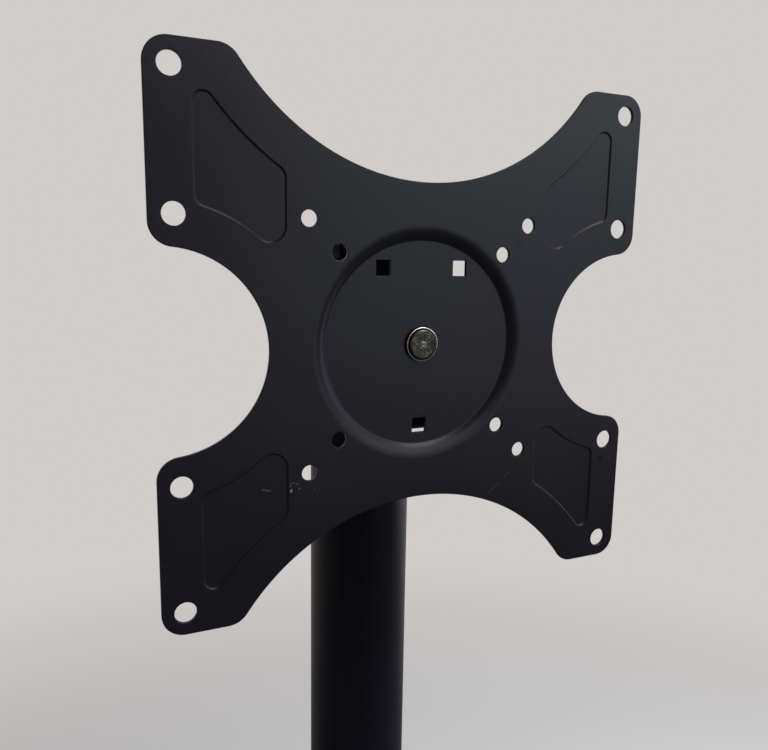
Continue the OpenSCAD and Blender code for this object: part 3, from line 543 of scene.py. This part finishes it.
black = (0.009, 0.009, 0.0095)
black_plastic = moulded("black_plastic", black)
rim_r, neck_r, shoulder_r = cover_d / 2, column_r + cover_gap, cover_d / 2 - cover_slope
band_top, shoulder_z, neck_top = base_top + cover_band, base_top + cover_shoulder, base_top + cover_h
cover = turned([(rim_r - cover_wall, base_top, 0.3), (rim_r, base_top, 0.4), (rim_r, band_top, 4.0),
                (shoulder_r, shoulder_z, 5.0), (neck_r + cover_wall, neck_top, 1.2), (neck_r, neck_top, 0.3),
                (neck_r, neck_top - cover_wall, 0.3), (shoulder_r - cover_wall, shoulder_z - cover_wall, 3.0),
                (rim_r - cover_wall, band_top, 3.0)], 144)
cover = cover.made("flange_cover_moulded", black_plastic)
fitted("base", (cover, "flange_cover", "black_plastic"))


# Bush and clamp collar: a moulded black bush in the tube's end guides the mast, and a turned, powder-coated steel
# collar goes over that end. Its boss is threaded for the clamp knob, and two socketed grub screws fix it.
def refined(node, name, material, bevel, folds=()):
    """A CAD node's own form as one closed mesh with its edges broken, and its upright corners folded (x, y, radius)."""
    sharp, coplanar, near = 30, 0.6, 1e-5
    bm = bmesh.new()
    bm.from_mesh(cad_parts[node].data)
    bmesh.ops.remove_doubles(bm, verts=bm.verts, dist=1e-6)
    bmesh.ops.dissolve_limit(bm, angle_limit=radians(coplanar), verts=bm.verts, edges=bm.edges)
    for x, y, r in folds:
        corner = [e for e in bm.edges
                  if all(abs(abs(v.co.x) - x * mm) < near and abs(v.co.y - y * mm) < near for v in e.verts)]
        bmesh.ops.bevel(bm, geom=corner, offset=r * mm, segments=6, profile=0.5, affect="EDGES")
    mesh = bpy.data.meshes.new(name)
    bm.to_mesh(mesh)
    bm.free()
    if "custom_normal" in mesh.attributes:
        mesh.attributes.remove(mesh.attributes["custom_normal"])
    return shown(name, mesh, material, sharp, bevel)


bush = refined("column_bush", "guide_bush", black_plastic, 0.2)
collar = refined("clamp_collar", "collar_coated", black_coat, 0.45)
oxide = Finish("black_oxide_steel")
drift, fine = oxide.noise(90, 3.0), oxide.noise(2600, 1.0)
oxide.set(Base_Color=drift.between((0.022, 0.023, 0.026, 1), (0.045, 0.043, 0.042, 1)), Metallic=0.85,
          Roughness=0.36 + 0.18 * drift)
oxide.relief(fine, 0.00002)
collar_screws = refined("collar_screws", "collar_grub_screws", oxide.material, 0.15)
fitted("base", (bush, "column_bush", "black_plastic"), (collar, "clamp_collar", "black_powder_coat"),
       (collar_screws, "collar_screws", "black_oxide_steel"))

# Clamp knob: a six-lobed knob moulded in black plastic round a zinc-plated M8 screw, which goes through the collar's
# boss to the mast. A grey disc is pressed in over the moulding's gate.
knob_d, knob_h, knob_edge, hub_d, hub_h, hub_taper = 46, 15, 1.9, 22, 8, 1.1
lobes, lobe_r, hollow_r, hollow_bite = 6, 2.4, 8, 4
clamp_z, boss_end, screw_free, screw_in_hub, mast_gap, clamp_pitch = 719, 45.5, 4, 6, 0.1, 1.25
cap_r, cap_gap, cap_sunk, cap_raised, cap_chamfer, dip_r, dip_depth, dip_wall = 9, 0.15, 0.8, 0.7, 0.8, 5, 0.3, 0.4
mast_r = 25
knob_foot = boss_end + screw_free
knob_under, knob_face = knob_foot + hub_h, knob_foot + hub_h + knob_h


def on_knob(x, y, z):
    """The knob's own frame: its section in X and Z, and its height out along the clamp screw."""
    return x, z, clamp_z + y


# The star's lobes are arcs of the knob's circle, with a rounded corner at either hollow.
hollow_at = knob_d / 2 + hollow_r - hollow_bite
lobe_at = knob_d / 2 - lobe_r
swing = degrees(acos((lobe_at ** 2 + hollow_at ** 2 - (hollow_r + lobe_r) ** 2) / (2 * lobe_at * hollow_at)))
meet = degrees(atan2(lobe_at * sin(radians(swing)), hollow_at - lobe_at * cos(radians(swing))))
star = []
for i in range(lobes):
    a = 360 * i / lobes
    for away, r, offset, start, end in (
        (lobe_at, lobe_r, -swing, -swing, meet), (hollow_at, hollow_r, 0, 180 + meet, 180 - meet),
        (lobe_at, lobe_r, swing, -meet, swing), (0, knob_d / 2, 0, swing, 360 / lobes - swing),
    ):
        star.append((away * cos(radians(a + offset)), away * sin(radians(a + offset)), r, a + start, a + end))
knob = Form()
cap_hole, hub_edge, cap_seat = circle(0, 0, cap_r + cap_gap), circle(0, 0, hub_d / 2), knob_face - cap_sunk
knob.rim(star, broken_edge(knob_edge, knob_face, knob_under, 5), on_knob)
knob.flat([loop(star, knob_edge), loop(cap_hole)], lambda x, y: on_knob(x, y, knob_face))
knob.rim(cap_hole, [(0, knob_face), (0, cap_seat)], on_knob)
knob.flat([loop(cap_hole)], lambda x, y: on_knob(x, y, cap_seat))
knob.flat([loop(star, knob_edge), loop(hub_edge)], lambda x, y: on_knob(x, y, knob_under))
knob.rim(hub_edge, [(-1.0, knob_under), (-0.3, knob_under - 0.3), (0, knob_under - 1.0), (0.6, knob_foot + 0.5),
                    (hub_taper, knob_foot)], on_knob)
knob.flat([loop(hub_edge, hub_taper)], lambda x, y: on_knob(x, y, knob_foot))
knob_piece = knob.made("knob_moulded", moulded("knob_plastic", black, 0.42, 0.00004), sharp=50)
along_screw = Matrix.Translation((0, 0, clamp_z)) @ Matrix.Rotation(radians(-90), 4, "X")
cap_top, dip_floor = knob_face + cap_raised, knob_face + cap_raised - dip_depth
cap_disc = turned([(0, cap_seat, 0), (cap_r, cap_seat, 0), (cap_r, knob_face, 0.3), (cap_r - cap_chamfer, cap_top, 0.3),
                   (dip_r + dip_wall, cap_top, 0.2), (dip_r, dip_floor, 0.2), (0, dip_floor, 0)],
                  72, False, along_screw)
cap_piece = cap_disc.made("knob_cap_disc", moulded("grey_plastic", (0.045, 0.046, 0.048), 0.4))


def threaded(d, pitch, low, high, at):
    """A screw thread's helix between two heights, tapered out at both ends."""
    depth, count, stages_a_turn = 0.55, 36, 8
    rows = [[at @ Vector((0, 0, low))]]
    stages = max(4, ceil((high - low) / pitch * stages_a_turn))
    for k in range(stages + 1):
        z = low + (high - low) * k / stages
        end = min(1.0, (z - low) / pitch, (high - z) / pitch)
        row = []
        for i in range(count):
            a = 2 * pi * i / count
            wave = abs(((z / pitch - i / count) % 1) * 2 - 1)
            r = d / 2 - depth * (1 - (1 - wave) * end)
            row.append(at @ Vector((r * cos(a), r * sin(a), z)))
        rows.append(row)
    form = Form()
    form.band(rows + [[at @ Vector((0, 0, high))]])
    return form


clamp_screw = threaded(m8_d, clamp_pitch, mast_r + mast_gap, knob_foot + screw_in_hub, along_screw)
clamp_screw = clamp_screw.made("clamp_screw_zinc", bright_zinc, sharp=60)
fitted("clamp_knob", (knob_piece, "height_knob", "black_plastic"), (cap_piece, "height_knob_cap", "grey_plastic"),
       (clamp_screw, "height_screw", "zinc_steel"))

# Mast: a plain 50 mm tube of 2 mm wall, powder-coated inside and out. A plastic guide is riveted round its foot, and a
# moulded cap is pressed into its top.
mast_wall, mast_l, mast_top = 2, 900, 1240
plug_gap, plug_wall, plug_l, plug_web, brim_h, crown_h, swell_h, dome_h = 0.05, 2, 16, 0.9, 0.8, 1.5, 2.4, 2.6
mast_foot, mast_bore = mast_top - mast_l, mast_r - mast_wall
mast = turned([(mast_bore, mast_foot, 0.4), (mast_r, mast_foot, 0.5), (mast_r, mast_top, 0.5),
               (mast_bore, mast_top, 0.4)], 160)
mast = mast.made("mast_tube", black_coat)
guide = refined("mast_guide", "mast_foot_guide", black_plastic, 0.3)
rivets = refined("guide_rivets", "guide_rivets_zinc", bright_zinc, 0.2)
plug_r, plug_foot, plug_roof = mast_bore - plug_gap, mast_top - plug_l, mast_top - plug_web
plug_in = plug_r - plug_wall
cap = turned([(0, plug_roof, 0), (plug_in, plug_roof, 0.5), (plug_in, plug_foot, 0.4), (plug_r, plug_foot, 0.5),
              (plug_r, mast_top, 0), (mast_r, mast_top, 0), (mast_r, mast_top + brim_h, 0.5),
              (mast_r - 3, mast_top + crown_h, 1.0), (mast_r / 2, mast_top + swell_h, 3.0),
              (0, mast_top + dome_h, 0)], 128, False)
cap = cap.made("mast_cap_moulded", black_plastic)
fitted("mast", (mast, "upper_tube", "black_powder_coat"), (guide, "mast_guide", "black_plastic"),
       (rivets, "guide_rivets", "zinc_steel"), (cap, "top_cap", "black_plastic"))

# Thrust ring: a turned steel ring, powder-coated and fixed on the mast by a grub screw. It carries the swivelling head,
# which turns on a white nylon slip ring.
ring_piece = refined("thrust_ring", "thrust_ring_coated", black_coat, 0.5)
ring_screw = refined("thrust_ring_screw", "thrust_grub_screw", oxide.material, 0.12)
nylon = Finish("white_nylon")
milky, fine = nylon.noise(40, 2.0), nylon.noise(1800, 1.0)
nylon.set(Base_Color=milky.step(0.3, 0.7).between((0.60, 0.58, 0.52, 1), (0.70, 0.69, 0.64, 1)),
          Roughness=0.38 + 0.1 * fine, Subsurface_Weight=0.15, Subsurface_Scale=0.002)
nylon.relief(fine, 0.00002)
slip = refined("slip_ring", "slip_ring_nylon", nylon.material, 0.25)
fitted("mast", (ring_piece, "thrust_ring", "black_powder_coat"), (ring_screw, "thrust_ring_screw", "black_oxide_steel"),
       (slip, "slip_ring", "white_nylon"))

# Swivel head: a steel sleeve, lined with nylon, that turns on the mast. Two ears are welded to it, each with a rippled
# bead down its outer side, and the whole is powder-coated.
sleeve = refined("head_sleeve", "swivel_sleeve_coated", black_coat, 0.4)
liner = refined("sleeve_liner", "sleeve_liner_nylon", nylon.material, 0.2)
seam_x, seam_y, seam_foot, seam_top = 20.5, -20.7, 1194.5, 1222.5
bead_r, ripple, ripple_step, ripple_lean, stages_a_ripple, bead_ends, bead_sides = 2.0, 0.28, 1.9, 0.7, 6, 5, 20
beads = Form()
stages = int((seam_top - seam_foot) / ripple_step * stages_a_ripple)
for side in (-1, 1):
    rows = [[(side * seam_x, seam_y, seam_foot)]]
    for k in range(1, stages):
        height = seam_foot + (seam_top - seam_foot) * k / stages
        end = sqrt(min(1.0, k / bead_ends, (stages - k) / bead_ends))
        r = end * (bead_r - ripple * (1 - abs(sin(pi * k / stages_a_ripple))))
        rows.append([(side * (seam_x + r * cos(a)), seam_y + r * sin(a), height - ripple_lean * end * cos(a + pi / 8))
                     for a in (2 * pi * i / bead_sides for i in range(bead_sides))])
    beads.band(rows + [[(side * seam_x, seam_y, seam_top)]])
beads = beads.made("ear_weld_beads", black_coat, sharp=60)
fitted("swivel_head", (sleeve, "head_sleeve", "black_powder_coat"), (beads, "head_sleeve", "black_powder_coat"),
       (liner, "sleeve_liner", "white_nylon"))

# Tilt hardware: an M8 screw, washer, nylon friction washer and nut at either ear, the metal ones bright zinc-plated,
# and an M6 guide bolt through a spacer tube with its washers and nut, all four in black oxide.
plate_z, tilt_y, ear_gap, ear_t, bracket_w, bracket_t, play, past_nut = 1202, -36, 35, 3, 49, 3, 0.1, 0.1
guide_y, guide_z, spacer_r, friction_r = tilt_y + 2, plate_z + 38, 4.5, 9
m8_bore_r, m8_nut_h, m8_washer_r, m8_washer_t = 4.05, 6.2, 8, 1.4
m6_d, m6_flats, m6_head, m6_bore_r, m6_nut_h, m6_washer_r, m6_washer_t = 6, 10, 4, 3.05, 5, 6.5, 1.2
sideways = Matrix.Rotation(radians(90), 4, "Y")
at_tilt, at_guide = (Matrix.Translation((0, y, z)) @ sideways for y, z in ((tilt_y, plate_z), (guide_y, guide_z)))


def washer(outer, inner, low, high, at):
    edge = 0.2
    return turned([(inner, low, edge), (outer, low, edge), (outer, high, edge), (inner, high, edge)], 64, True, at)


def at_both_ends(thing, y):
    """A thing at the right end of a crosswise pin, and again at its left end."""
    return repeated(thing, round_an_axis, Count=2, First=0.0, Step=pi, Centre=(0, y * mm, 0))


ear_in, bracket_out = ear_gap / 2, bracket_w / 2
washer_seat = bracket_out + play
guide_seat = washer_seat + m6_washer_t
tilt_screw = hexagon_screw(m8_d, m8_flats, ear_in - m8_nut_h - past_nut, washer_seat + m8_washer_t, m8_head, at_tilt)
tilt_nut = hexagon(Form(), m8_flats, ear_in - m8_nut_h, ear_in, at_tilt, m8_bore_r)
tilt_washer = washer(m8_washer_r, m8_bore_r, washer_seat, washer_seat + m8_washer_t, at_tilt)
guide_bolt = hexagon_screw(m6_d, m6_flats, -guide_seat - m6_nut_h - past_nut, guide_seat, m6_head, at_guide)
guide_nut = hexagon(Form(), m6_flats, -guide_seat - m6_nut_h, -guide_seat, at_guide, m6_bore_r)
guide_washer = washer(m6_washer_r, m6_bore_r, washer_seat, washer_seat + m6_washer_t, at_guide)
guide_spacer = washer(spacer_r, m6_bore_r, -ear_in, ear_in, at_guide)
friction = washer(friction_r, m8_bore_r, ear_in + ear_t, bracket_out - bracket_t - play, at_tilt)
tilt_screws = at_both_ends(tilt_screw.made("tilt_screws_zinc", bright_zinc, sharp=30, bevel=0.12), tilt_y)
tilt_nuts = at_both_ends(tilt_nut.made("tilt_nuts_zinc", bright_zinc, sharp=30, bevel=0.1), tilt_y)
tilt_washers = at_both_ends(tilt_washer.made("tilt_washers_zinc", bright_zinc), tilt_y)
guide_washers = at_both_ends(guide_washer.made("guide_washers_oxide", oxide.material), guide_y)
guide_bolt = guide_bolt.made("guide_bolt_oxide", oxide.material, sharp=30, bevel=0.1)
guide_nut = guide_nut.made("guide_nut_oxide", oxide.material, sharp=30, bevel=0.1)
guide_spacer = guide_spacer.made("guide_spacer_oxide", oxide.material)
friction = at_both_ends(friction.made("tilt_friction_nylon", nylon.material), tilt_y)
fitted("swivel_head", (tilt_screws, "tilt_screws", "zinc_steel"), (tilt_nuts, "tilt_nuts", "zinc_steel"),
       (tilt_washers, "tilt_washers", "zinc_steel"), (guide_washers, "guide_washers", "black_oxide_steel"),
       (guide_bolt, "guide_bolt", "black_oxide_steel"), (guide_nut, "guide_nut", "black_oxide_steel"),
       (guide_spacer, "guide_spacer", "black_oxide_steel"), (friction, "tilt_friction_washers", "white_nylon"))

# Tilt bracket: 3 mm steel, laser-cut with an arc slot in either flange for the guide bolt, folded to a channel and
# powder-coated. It hangs on the two tilt screws.
fold_r, fold_inner_r, web_at = 3.6, 0.6, -48
bracket = refined("tilt_bracket", "tilt_bracket_coated", black_coat, 0.4, folds=(
    (bracket_out, web_at, fold_r), (bracket_out - bracket_t, web_at + bracket_t, fold_inner_r)))
fitted("tilt_head", (bracket, "tilt_bracket", "black_powder_coat"))

# Pivot, behind the plate: a turned, powder-coated hub with a nylon washer between it and the plate. Two spring washers
# under an M10 nut hold the plate against it.
spring_t, spring_rise, m10_flats, m10_bore_r, m10_nut_h, nut_turn = 1.2, 0.35, 16, 5.05, 7, 30
hub = refined("pivot_hub", "pivot_hub_coated", black_coat, 0.3)
rear_slip = refined("rear_slip_washer", "rear_slip_nylon", nylon.material, 0.15)
springs = refined("spring_washers", "spring_washers_zinc", bright_zinc, 0.1)
facing = Matrix.Translation((0, 0, plate_z)) @ Matrix.Rotation(radians(90), 4, "X")
nut_back = -web_at - bracket_t - 2 * (spring_t + spring_rise) - m10_nut_h
nut = hexagon(Form(), m10_flats, nut_back, nut_back + m10_nut_h,
              facing @ Matrix.Rotation(radians(nut_turn), 4, "Z"), m10_bore_r)
nut = nut.made("pivot_nut_zinc", bright_zinc, sharp=30, bevel=0.12)
fitted("tilt_head", (hub, "pivot_hub", "black_powder_coat"), (rear_slip, "rear_slip_washer", "white_nylon"),
       (springs, "spring_washers", "zinc_steel"), (nut, "pivot_nut", "zinc_steel"))

# Interface plate: 1.6 mm steel, laser-cut with four arms, then pressed: four shallow corner panels and a dished centre
# with a soft outer bend and a crisp floor. Powder-coated satin black, with a few scuffs and smudges from unpacking.
reach, sheet, half_w, arm_r = 68, 1.6, 100, 9
# Between the arms, the sides and ends are hollow arcs, which come this near to the plate's middle.
side_r, side_near, end_r, end_near = 38.6, 66, 93.4, 65.8
side_at, end_at = side_near + side_r, end_near + end_r
panel_inset, panel_in, panel_r, waist_r, panel_depth = 16.2, 59, 4, 6.3, 0.6
step_out, step_in, rear_shift = 0.22, 0.52, 0.3
dish_floor, dish_depth, bend_r, slope, bend_steps, front_root, rear_root = 42.8, 2.8, 8, radians(40), 8, 0.5, 0.9
arm_hole_r, inner_hole_r, square_w, square_corner, pivot_hole_r = 4.25, 3.25, 6.4, 0.4, 5.08
hole_places = ((100, 100, arm_hole_r), (100, 50, arm_hole_r), (50, 50, inner_hole_r), (37.5, 37.5, inner_hole_r))
square_places = ((-17.75, 31.5), (17.75, 31.5), (0, -35))
cut_edge, hole_edge, square_edge = 0.3, 0.25, 0.18
rim_at = dish_floor + bend_r * sin(slope) + (dish_depth - bend_r * (1 - cos(slope))) / tan(slope)


def on_plate(u, v, w):
    """The plate's own frame: right, up and towards the viewer from its front face."""
    return u, -reach - w, plate_z + v


def angle_to(x, y, to_x, to_y):
    return degrees(atan2(to_y - y, to_x - x))


def mirrored(outline):
    return [(-x, y, r, 180 - end, 180 - start) for x, y, r, start, end in reversed(outline)]


def half_turned(outline):
    return [(-x, -y, r, start + 180, end + 180) for x, y, r, start, end in outline]


fillet_v = sqrt((side_r + arm_r) ** 2 - (side_at - half_w) ** 2)
fillet_u = sqrt((end_r + arm_r) ** 2 - (end_at - half_w) ** 2)
low_turn = angle_to(half_w, fillet_v, side_at, 0)
high_turn = angle_to(fillet_u, half_w, 0, end_at)
arm = [(half_w, fillet_v, arm_r, low_turn, 0), (half_w, half_w, arm_r, 0, 90), (fillet_u, half_w, arm_r, 90, high_turn)]
upper = arm + [(0, end_at, end_r, high_turn - 180, -high_turn)] + mirrored(arm)
upper += [(-side_at, 0, side_r, -low_turn, low_turn)]
plate_outline = upper + half_turned(upper)

panel_out = half_w + arm_r - panel_inset
inner, outer, waist_u = panel_in + panel_r, panel_out - panel_r, panel_in + waist_r
side_path, end_path = side_r + panel_inset, end_r + panel_inset
waist_v, low_v = (sqrt((side_path + r) ** 2 - (side_at - x) ** 2) for x, r in ((waist_u, waist_r), (outer, panel_r)))
waist, low, side_mid, end_mid = (waist_u, waist_v), (outer, low_v), (side_at, 0), (0, end_at)
high_out, high_in = ((x, end_at - sqrt((end_path + panel_r) ** 2 - x ** 2)) for x in (outer, inner))
panel = [
    (*waist, waist_r, 180, 360 + angle_to(*waist, *side_mid)),
    (*side_mid, side_path, angle_to(*side_mid, *waist), angle_to(*side_mid, *low)),
    (*low, panel_r, angle_to(*low, *side_mid), 0), (*high_out, panel_r, 0, angle_to(*high_out, *end_mid)),
    (*end_mid, end_path, angle_to(*end_mid, *high_out), angle_to(*end_mid, *high_in)),
    (*high_in, panel_r, angle_to(*high_in, *end_mid), 180),
]
panels = [panel, mirrored(panel), half_turned(panel), half_turned(mirrored(panel))]
holes = [circle(sx * x, sy * y, r) for x, y, r in hole_places for sx in (-1, 1) for sy in (-1, 1)]
squares = [rectangle(square_w, square_w, square_corner, u, v) for u, v in square_places]
pivot_hole, dish_rim = circle(0, 0, pivot_hole_r), circle(0, 0, rim_at)
plate = Form()
plate.rim(plate_outline, broken_edge(cut_edge, 0, -sheet), on_plate)
for hole in holes:
    plate.rim(hole, broken_edge(hole_edge, 0, -sheet), on_plate, -1)
panel_step = [(-step_out, 0), (-0.1, -0.04), (0.02, -0.15), (0.28, -0.45), (0.4, -0.56), (step_in, -panel_depth)]
for face in panels:
    plate.rim(face, panel_step, on_plate)
    plate.rim(face, [(d - rear_shift, h - sheet) for d, h in panel_step], on_plate)
    plate.flat([loop(face, step_in)], lambda u, v: on_plate(u, v, -panel_depth))
    plate.flat([loop(face, step_in - rear_shift)], lambda u, v: on_plate(u, v, -panel_depth - sheet))
# Front and back of the sheet: the bend at the dish's rim, its straight wall, and the root where that meets the floor.
for side, floor_r, r, root, panel_edge in (
    (0, dish_floor, bend_r, front_root, step_out),
    (-sheet, dish_floor + sheet * tan(slope / 2), bend_r - sheet, rear_root, step_out + rear_shift),
):
    floor_w, foot_at = side - dish_depth, rim_at - floor_r
    wall = [(r * sin(slope * k / bend_steps), -bend_r + r * cos(slope * k / bend_steps)) for k in range(bend_steps + 1)]
    wall += [(foot_at - root * cos(slope), floor_w + root * sin(slope)), (foot_at - root * 0.3, floor_w + root * 0.16),
             (foot_at + root * 0.25, floor_w + root * 0.02), (foot_at + root, floor_w)]
    plate.rim(dish_rim, wall, on_plate)
    floor_loops = [loop(dish_rim, foot_at + root), loop(pivot_hole)] + [loop(s, -square_edge) for s in squares]
    plate.flat(floor_loops, lambda u, v: on_plate(u, v, floor_w))
    sheet_loops = [loop(plate_outline, cut_edge), loop(dish_rim)] + [loop(h, -hole_edge) for h in holes]
    plate.flat(sheet_loops + [loop(face, -panel_edge) for face in panels], lambda u, v: on_plate(u, v, side))
for hole in squares:
    plate.rim(hole, broken_edge(square_edge, -dish_depth, -dish_depth - sheet), on_plate, -1)
plate.rim(pivot_hole, [(0, -dish_depth), (0, -dish_depth - sheet)], on_plate)


def unpacking_marks(coat, tint, gloss):
    """Pale scuffs and hair scratches, and two dark smudges, where the photograph shows them."""
    wobble = coat.noise(900, 2.0)
    # The marks reach the pressed panels too, because depth into the plate counts for less than the way across it.
    shallow = 0.3
    place = coat.vector("MULTIPLY", coat.place, (1, shallow, 1))

    def stroke(start, end, width):
        """A ragged mark from start to end on the plate's face."""
        a, b = (Vector((u, -reach * shallow, plate_z + v)) * mm for u, v in (start, end))
        along = b - a
        away = coat.vector("SUBTRACT", place, a)
        share = coat.vector("DOT_PRODUCT", away, along / along.length_squared)
        nearest = coat.vector("MULTIPLY", along, coat.node("ShaderNodeClamp", {}, (share,)))
        apart = coat.vector("SUBTRACT", away, nearest).length()
        return (apart / (width * mm) + (wobble - 0.5)).step(0.9, 0.3)

    scuffs = 0.0
    for start, end, width, strength in (
        ((-58.0, -56.8), (-57.7, -56.4), 0.6, 0.75), ((-58.2, -55.0), (-58.0, -53.4), 0.45, 0.14),
        ((-56.9, -53.3), (-56.6, -53.4), 0.45, 0.22), ((-55.4, -54.2), (-55.1, -53.7), 0.5, 0.16),
        ((-54.6, -55.8), (-54.3, -55.9), 0.5, 0.2), ((-48.0, -56.6), (-47.7, -56.6), 0.45, 0.16),
        ((-69.4, -54.7), (-66.0, -55.6), 0.42, 0.28), ((35.1, -68.6), (40.1, -65.1), 0.4, 0.08),
        ((42.4, -62.8), (45.7, -60.1), 0.4, 0.08), ((51.9, -56.0), (55.6, -52.4), 0.4, 0.06),
        ((58.2, -49.7), (58.5, -49.5), 0.45, 0.12),
    ):
        scuffs = stroke(start, end, width) * strength + scuffs
    # A film of grease takes the coat's shine away, and on a colour so dark a little Metallic does the same.
    smudges = stroke((44.8, 42.7), (46.2, 43.1), 1.8) * 0.25 + stroke((97.5, -59.3), (98.7, -59.7), 2.2) * 0.42
    coat.set(Metallic=smudges)
    return scuffs.between(tint, (0.16, 0.16, 0.165, 1)), gloss + 0.12 * scuffs


plate_coat = powder_coat("plate_powder_coat", (0.0039, 0.0028, 0.0050), patch=7.0, rough=0.355, shine=0.155,
                         marks=unpacking_marks)
plate_piece = plate.made("interface_plate", plate_coat, sharp=50)
fitted("plate", (plate_piece, "vesa_plate", "plate_powder_coat"))

# Pivot, in front of the plate: a round-headed bolt turned from bar, darkened and mottled, with the lathe centre's mark
# in its face. It sits in a yellow-zinc cup washer with a raised rim, on a nylon slip washer.
bolt_r, bolt_point, bolt_past_nut, head_r, head_h = 5, 0.8, 1.5, 6.05, 2.1
slip_t, cup_t, cup_h, cup_r, cup_rim_r, cup_seat_r, cup_bore_r = 0.6, 0.5, 1.1, 7.15, 6.82, 6.72, 5.05
cup_back = reach - dish_depth + slip_t
cup_seat, cup_lip, face, tip = cup_back + cup_t, cup_back + cup_h, cup_back + head_h, nut_back - bolt_past_nut
shank = [(0, tip, 0), (bolt_r - bolt_point, tip, 0), (bolt_r, tip + bolt_point, 0), (bolt_r, cup_seat, 0)]
head = [(head_r - 0.2, cup_seat, 0.1), (head_r, cup_seat + 0.3, 0.2), (head_r, face - 0.4, 0.15),
        (head_r - 0.45, face - 0.03, 0.15)]
tool_line = [(5.15, face, 0.1), (5.0, face - 0.08, 0.1), (4.8, face - 0.02, 0.1)]
centre_mark = [(1.2, face - 0.02, 0.1), (0.8, face + 0.14, 0.1), (0.45, face, 0.08), (0.12, face - 0.6, 0),
               (0, face - 0.65, 0)]
bolt = turned(shank + head + tool_line + centre_mark, 96, False, facing)
bronze = Finish("aged_bronze_steel")
from_mark = bronze.about((0, -face * mm, plate_z * mm)).length()
blotch, specks, spread = bronze.noise(420, 4.0, 0.65), bronze.noise(1500, 3.0, 0.7), bronze.noise(150, 2.0)
groove_rate = 9000  # radians to the metre: the tool's grooves are 0.7 mm apart
groove_phase = from_mark * groove_rate + blotch * 2.0
grooves = groove_phase.math("SINE", groove_phase)
rubbed = (blotch * 0.7 + specks * 0.5 + from_mark.step(3.4 * mm, 1.0 * mm, 0.0, 0.09)).step(0.58, 0.78)
punched = from_mark.step(1.3 * mm, 0.9 * mm)
chamfered = from_mark.step(5.5 * mm, 5.8 * mm)
bared = (rubbed * 0.55 + punched * 0.6).capped()
tone = spread.step(0.35, 0.65).between((0.016, 0.014, 0.011, 1), (0.036, 0.032, 0.027, 1))
tone = chamfered.between(bared.between(tone, (0.15, 0.14, 0.12, 1)), (0.080, 0.060, 0.044, 1))
bronze.set(Base_Color=tone, Metallic=0.9, Roughness=0.44 + 0.22 * blotch - 0.14 * rubbed - 0.16 * chamfered)
bronze.relief(0.5 * blotch + 0.3 * specks + 0.1 * grooves, 0.00007)
bolt_piece = bolt.made("pivot_bolt_turned", bronze.material, sharp=50)
cup = turned([(cup_bore_r, cup_back, 0.1), (cup_r, cup_back, 0.1), (cup_r, cup_lip, 0.26), (cup_rim_r, cup_lip, 0.02),
              (cup_seat_r, cup_seat, 0.1), (cup_bore_r, cup_seat, 0.1)], 96, True, facing)


def shaded_washer(zinc, tint, gloss):
    """Painted shade darkens the washer's seat and its outer wall, and leaves the top of its rim bright."""
    out = zinc.vector("MULTIPLY", zinc.about((0, 0, plate_z * mm)), (1, 0, 1)).length()
    # Painted shade: dark colour inside the rim, where the groove is in shade, and on the outer wall; both are also made
    # rougher.
    painted_shade = (out.step(6.92 * mm, 6.87 * mm) + out.step(7.11 * mm, 7.14 * mm)).capped()
    return painted_shade.between(tint, (0.030, 0.024, 0.018, 1)), gloss + 0.3 * painted_shade


yellow_zinc = plated("yellow_zinc", (0.62, 0.54, 0.42), (0.64, 0.58, 0.48), rough=0.26, shading=shaded_washer)
cup_piece = cup.made("pivot_washer_zinc", yellow_zinc)
front_slip = refined("front_slip_washer", "front_slip_nylon", nylon.material, 0.1)
fitted("tilt_head", (bolt_piece, "pivot_bolt", "aged_bronze_steel"), (cup_piece, "pivot_washer", "yellow_zinc"),
       (front_slip, "front_slip_washer", "white_nylon"))
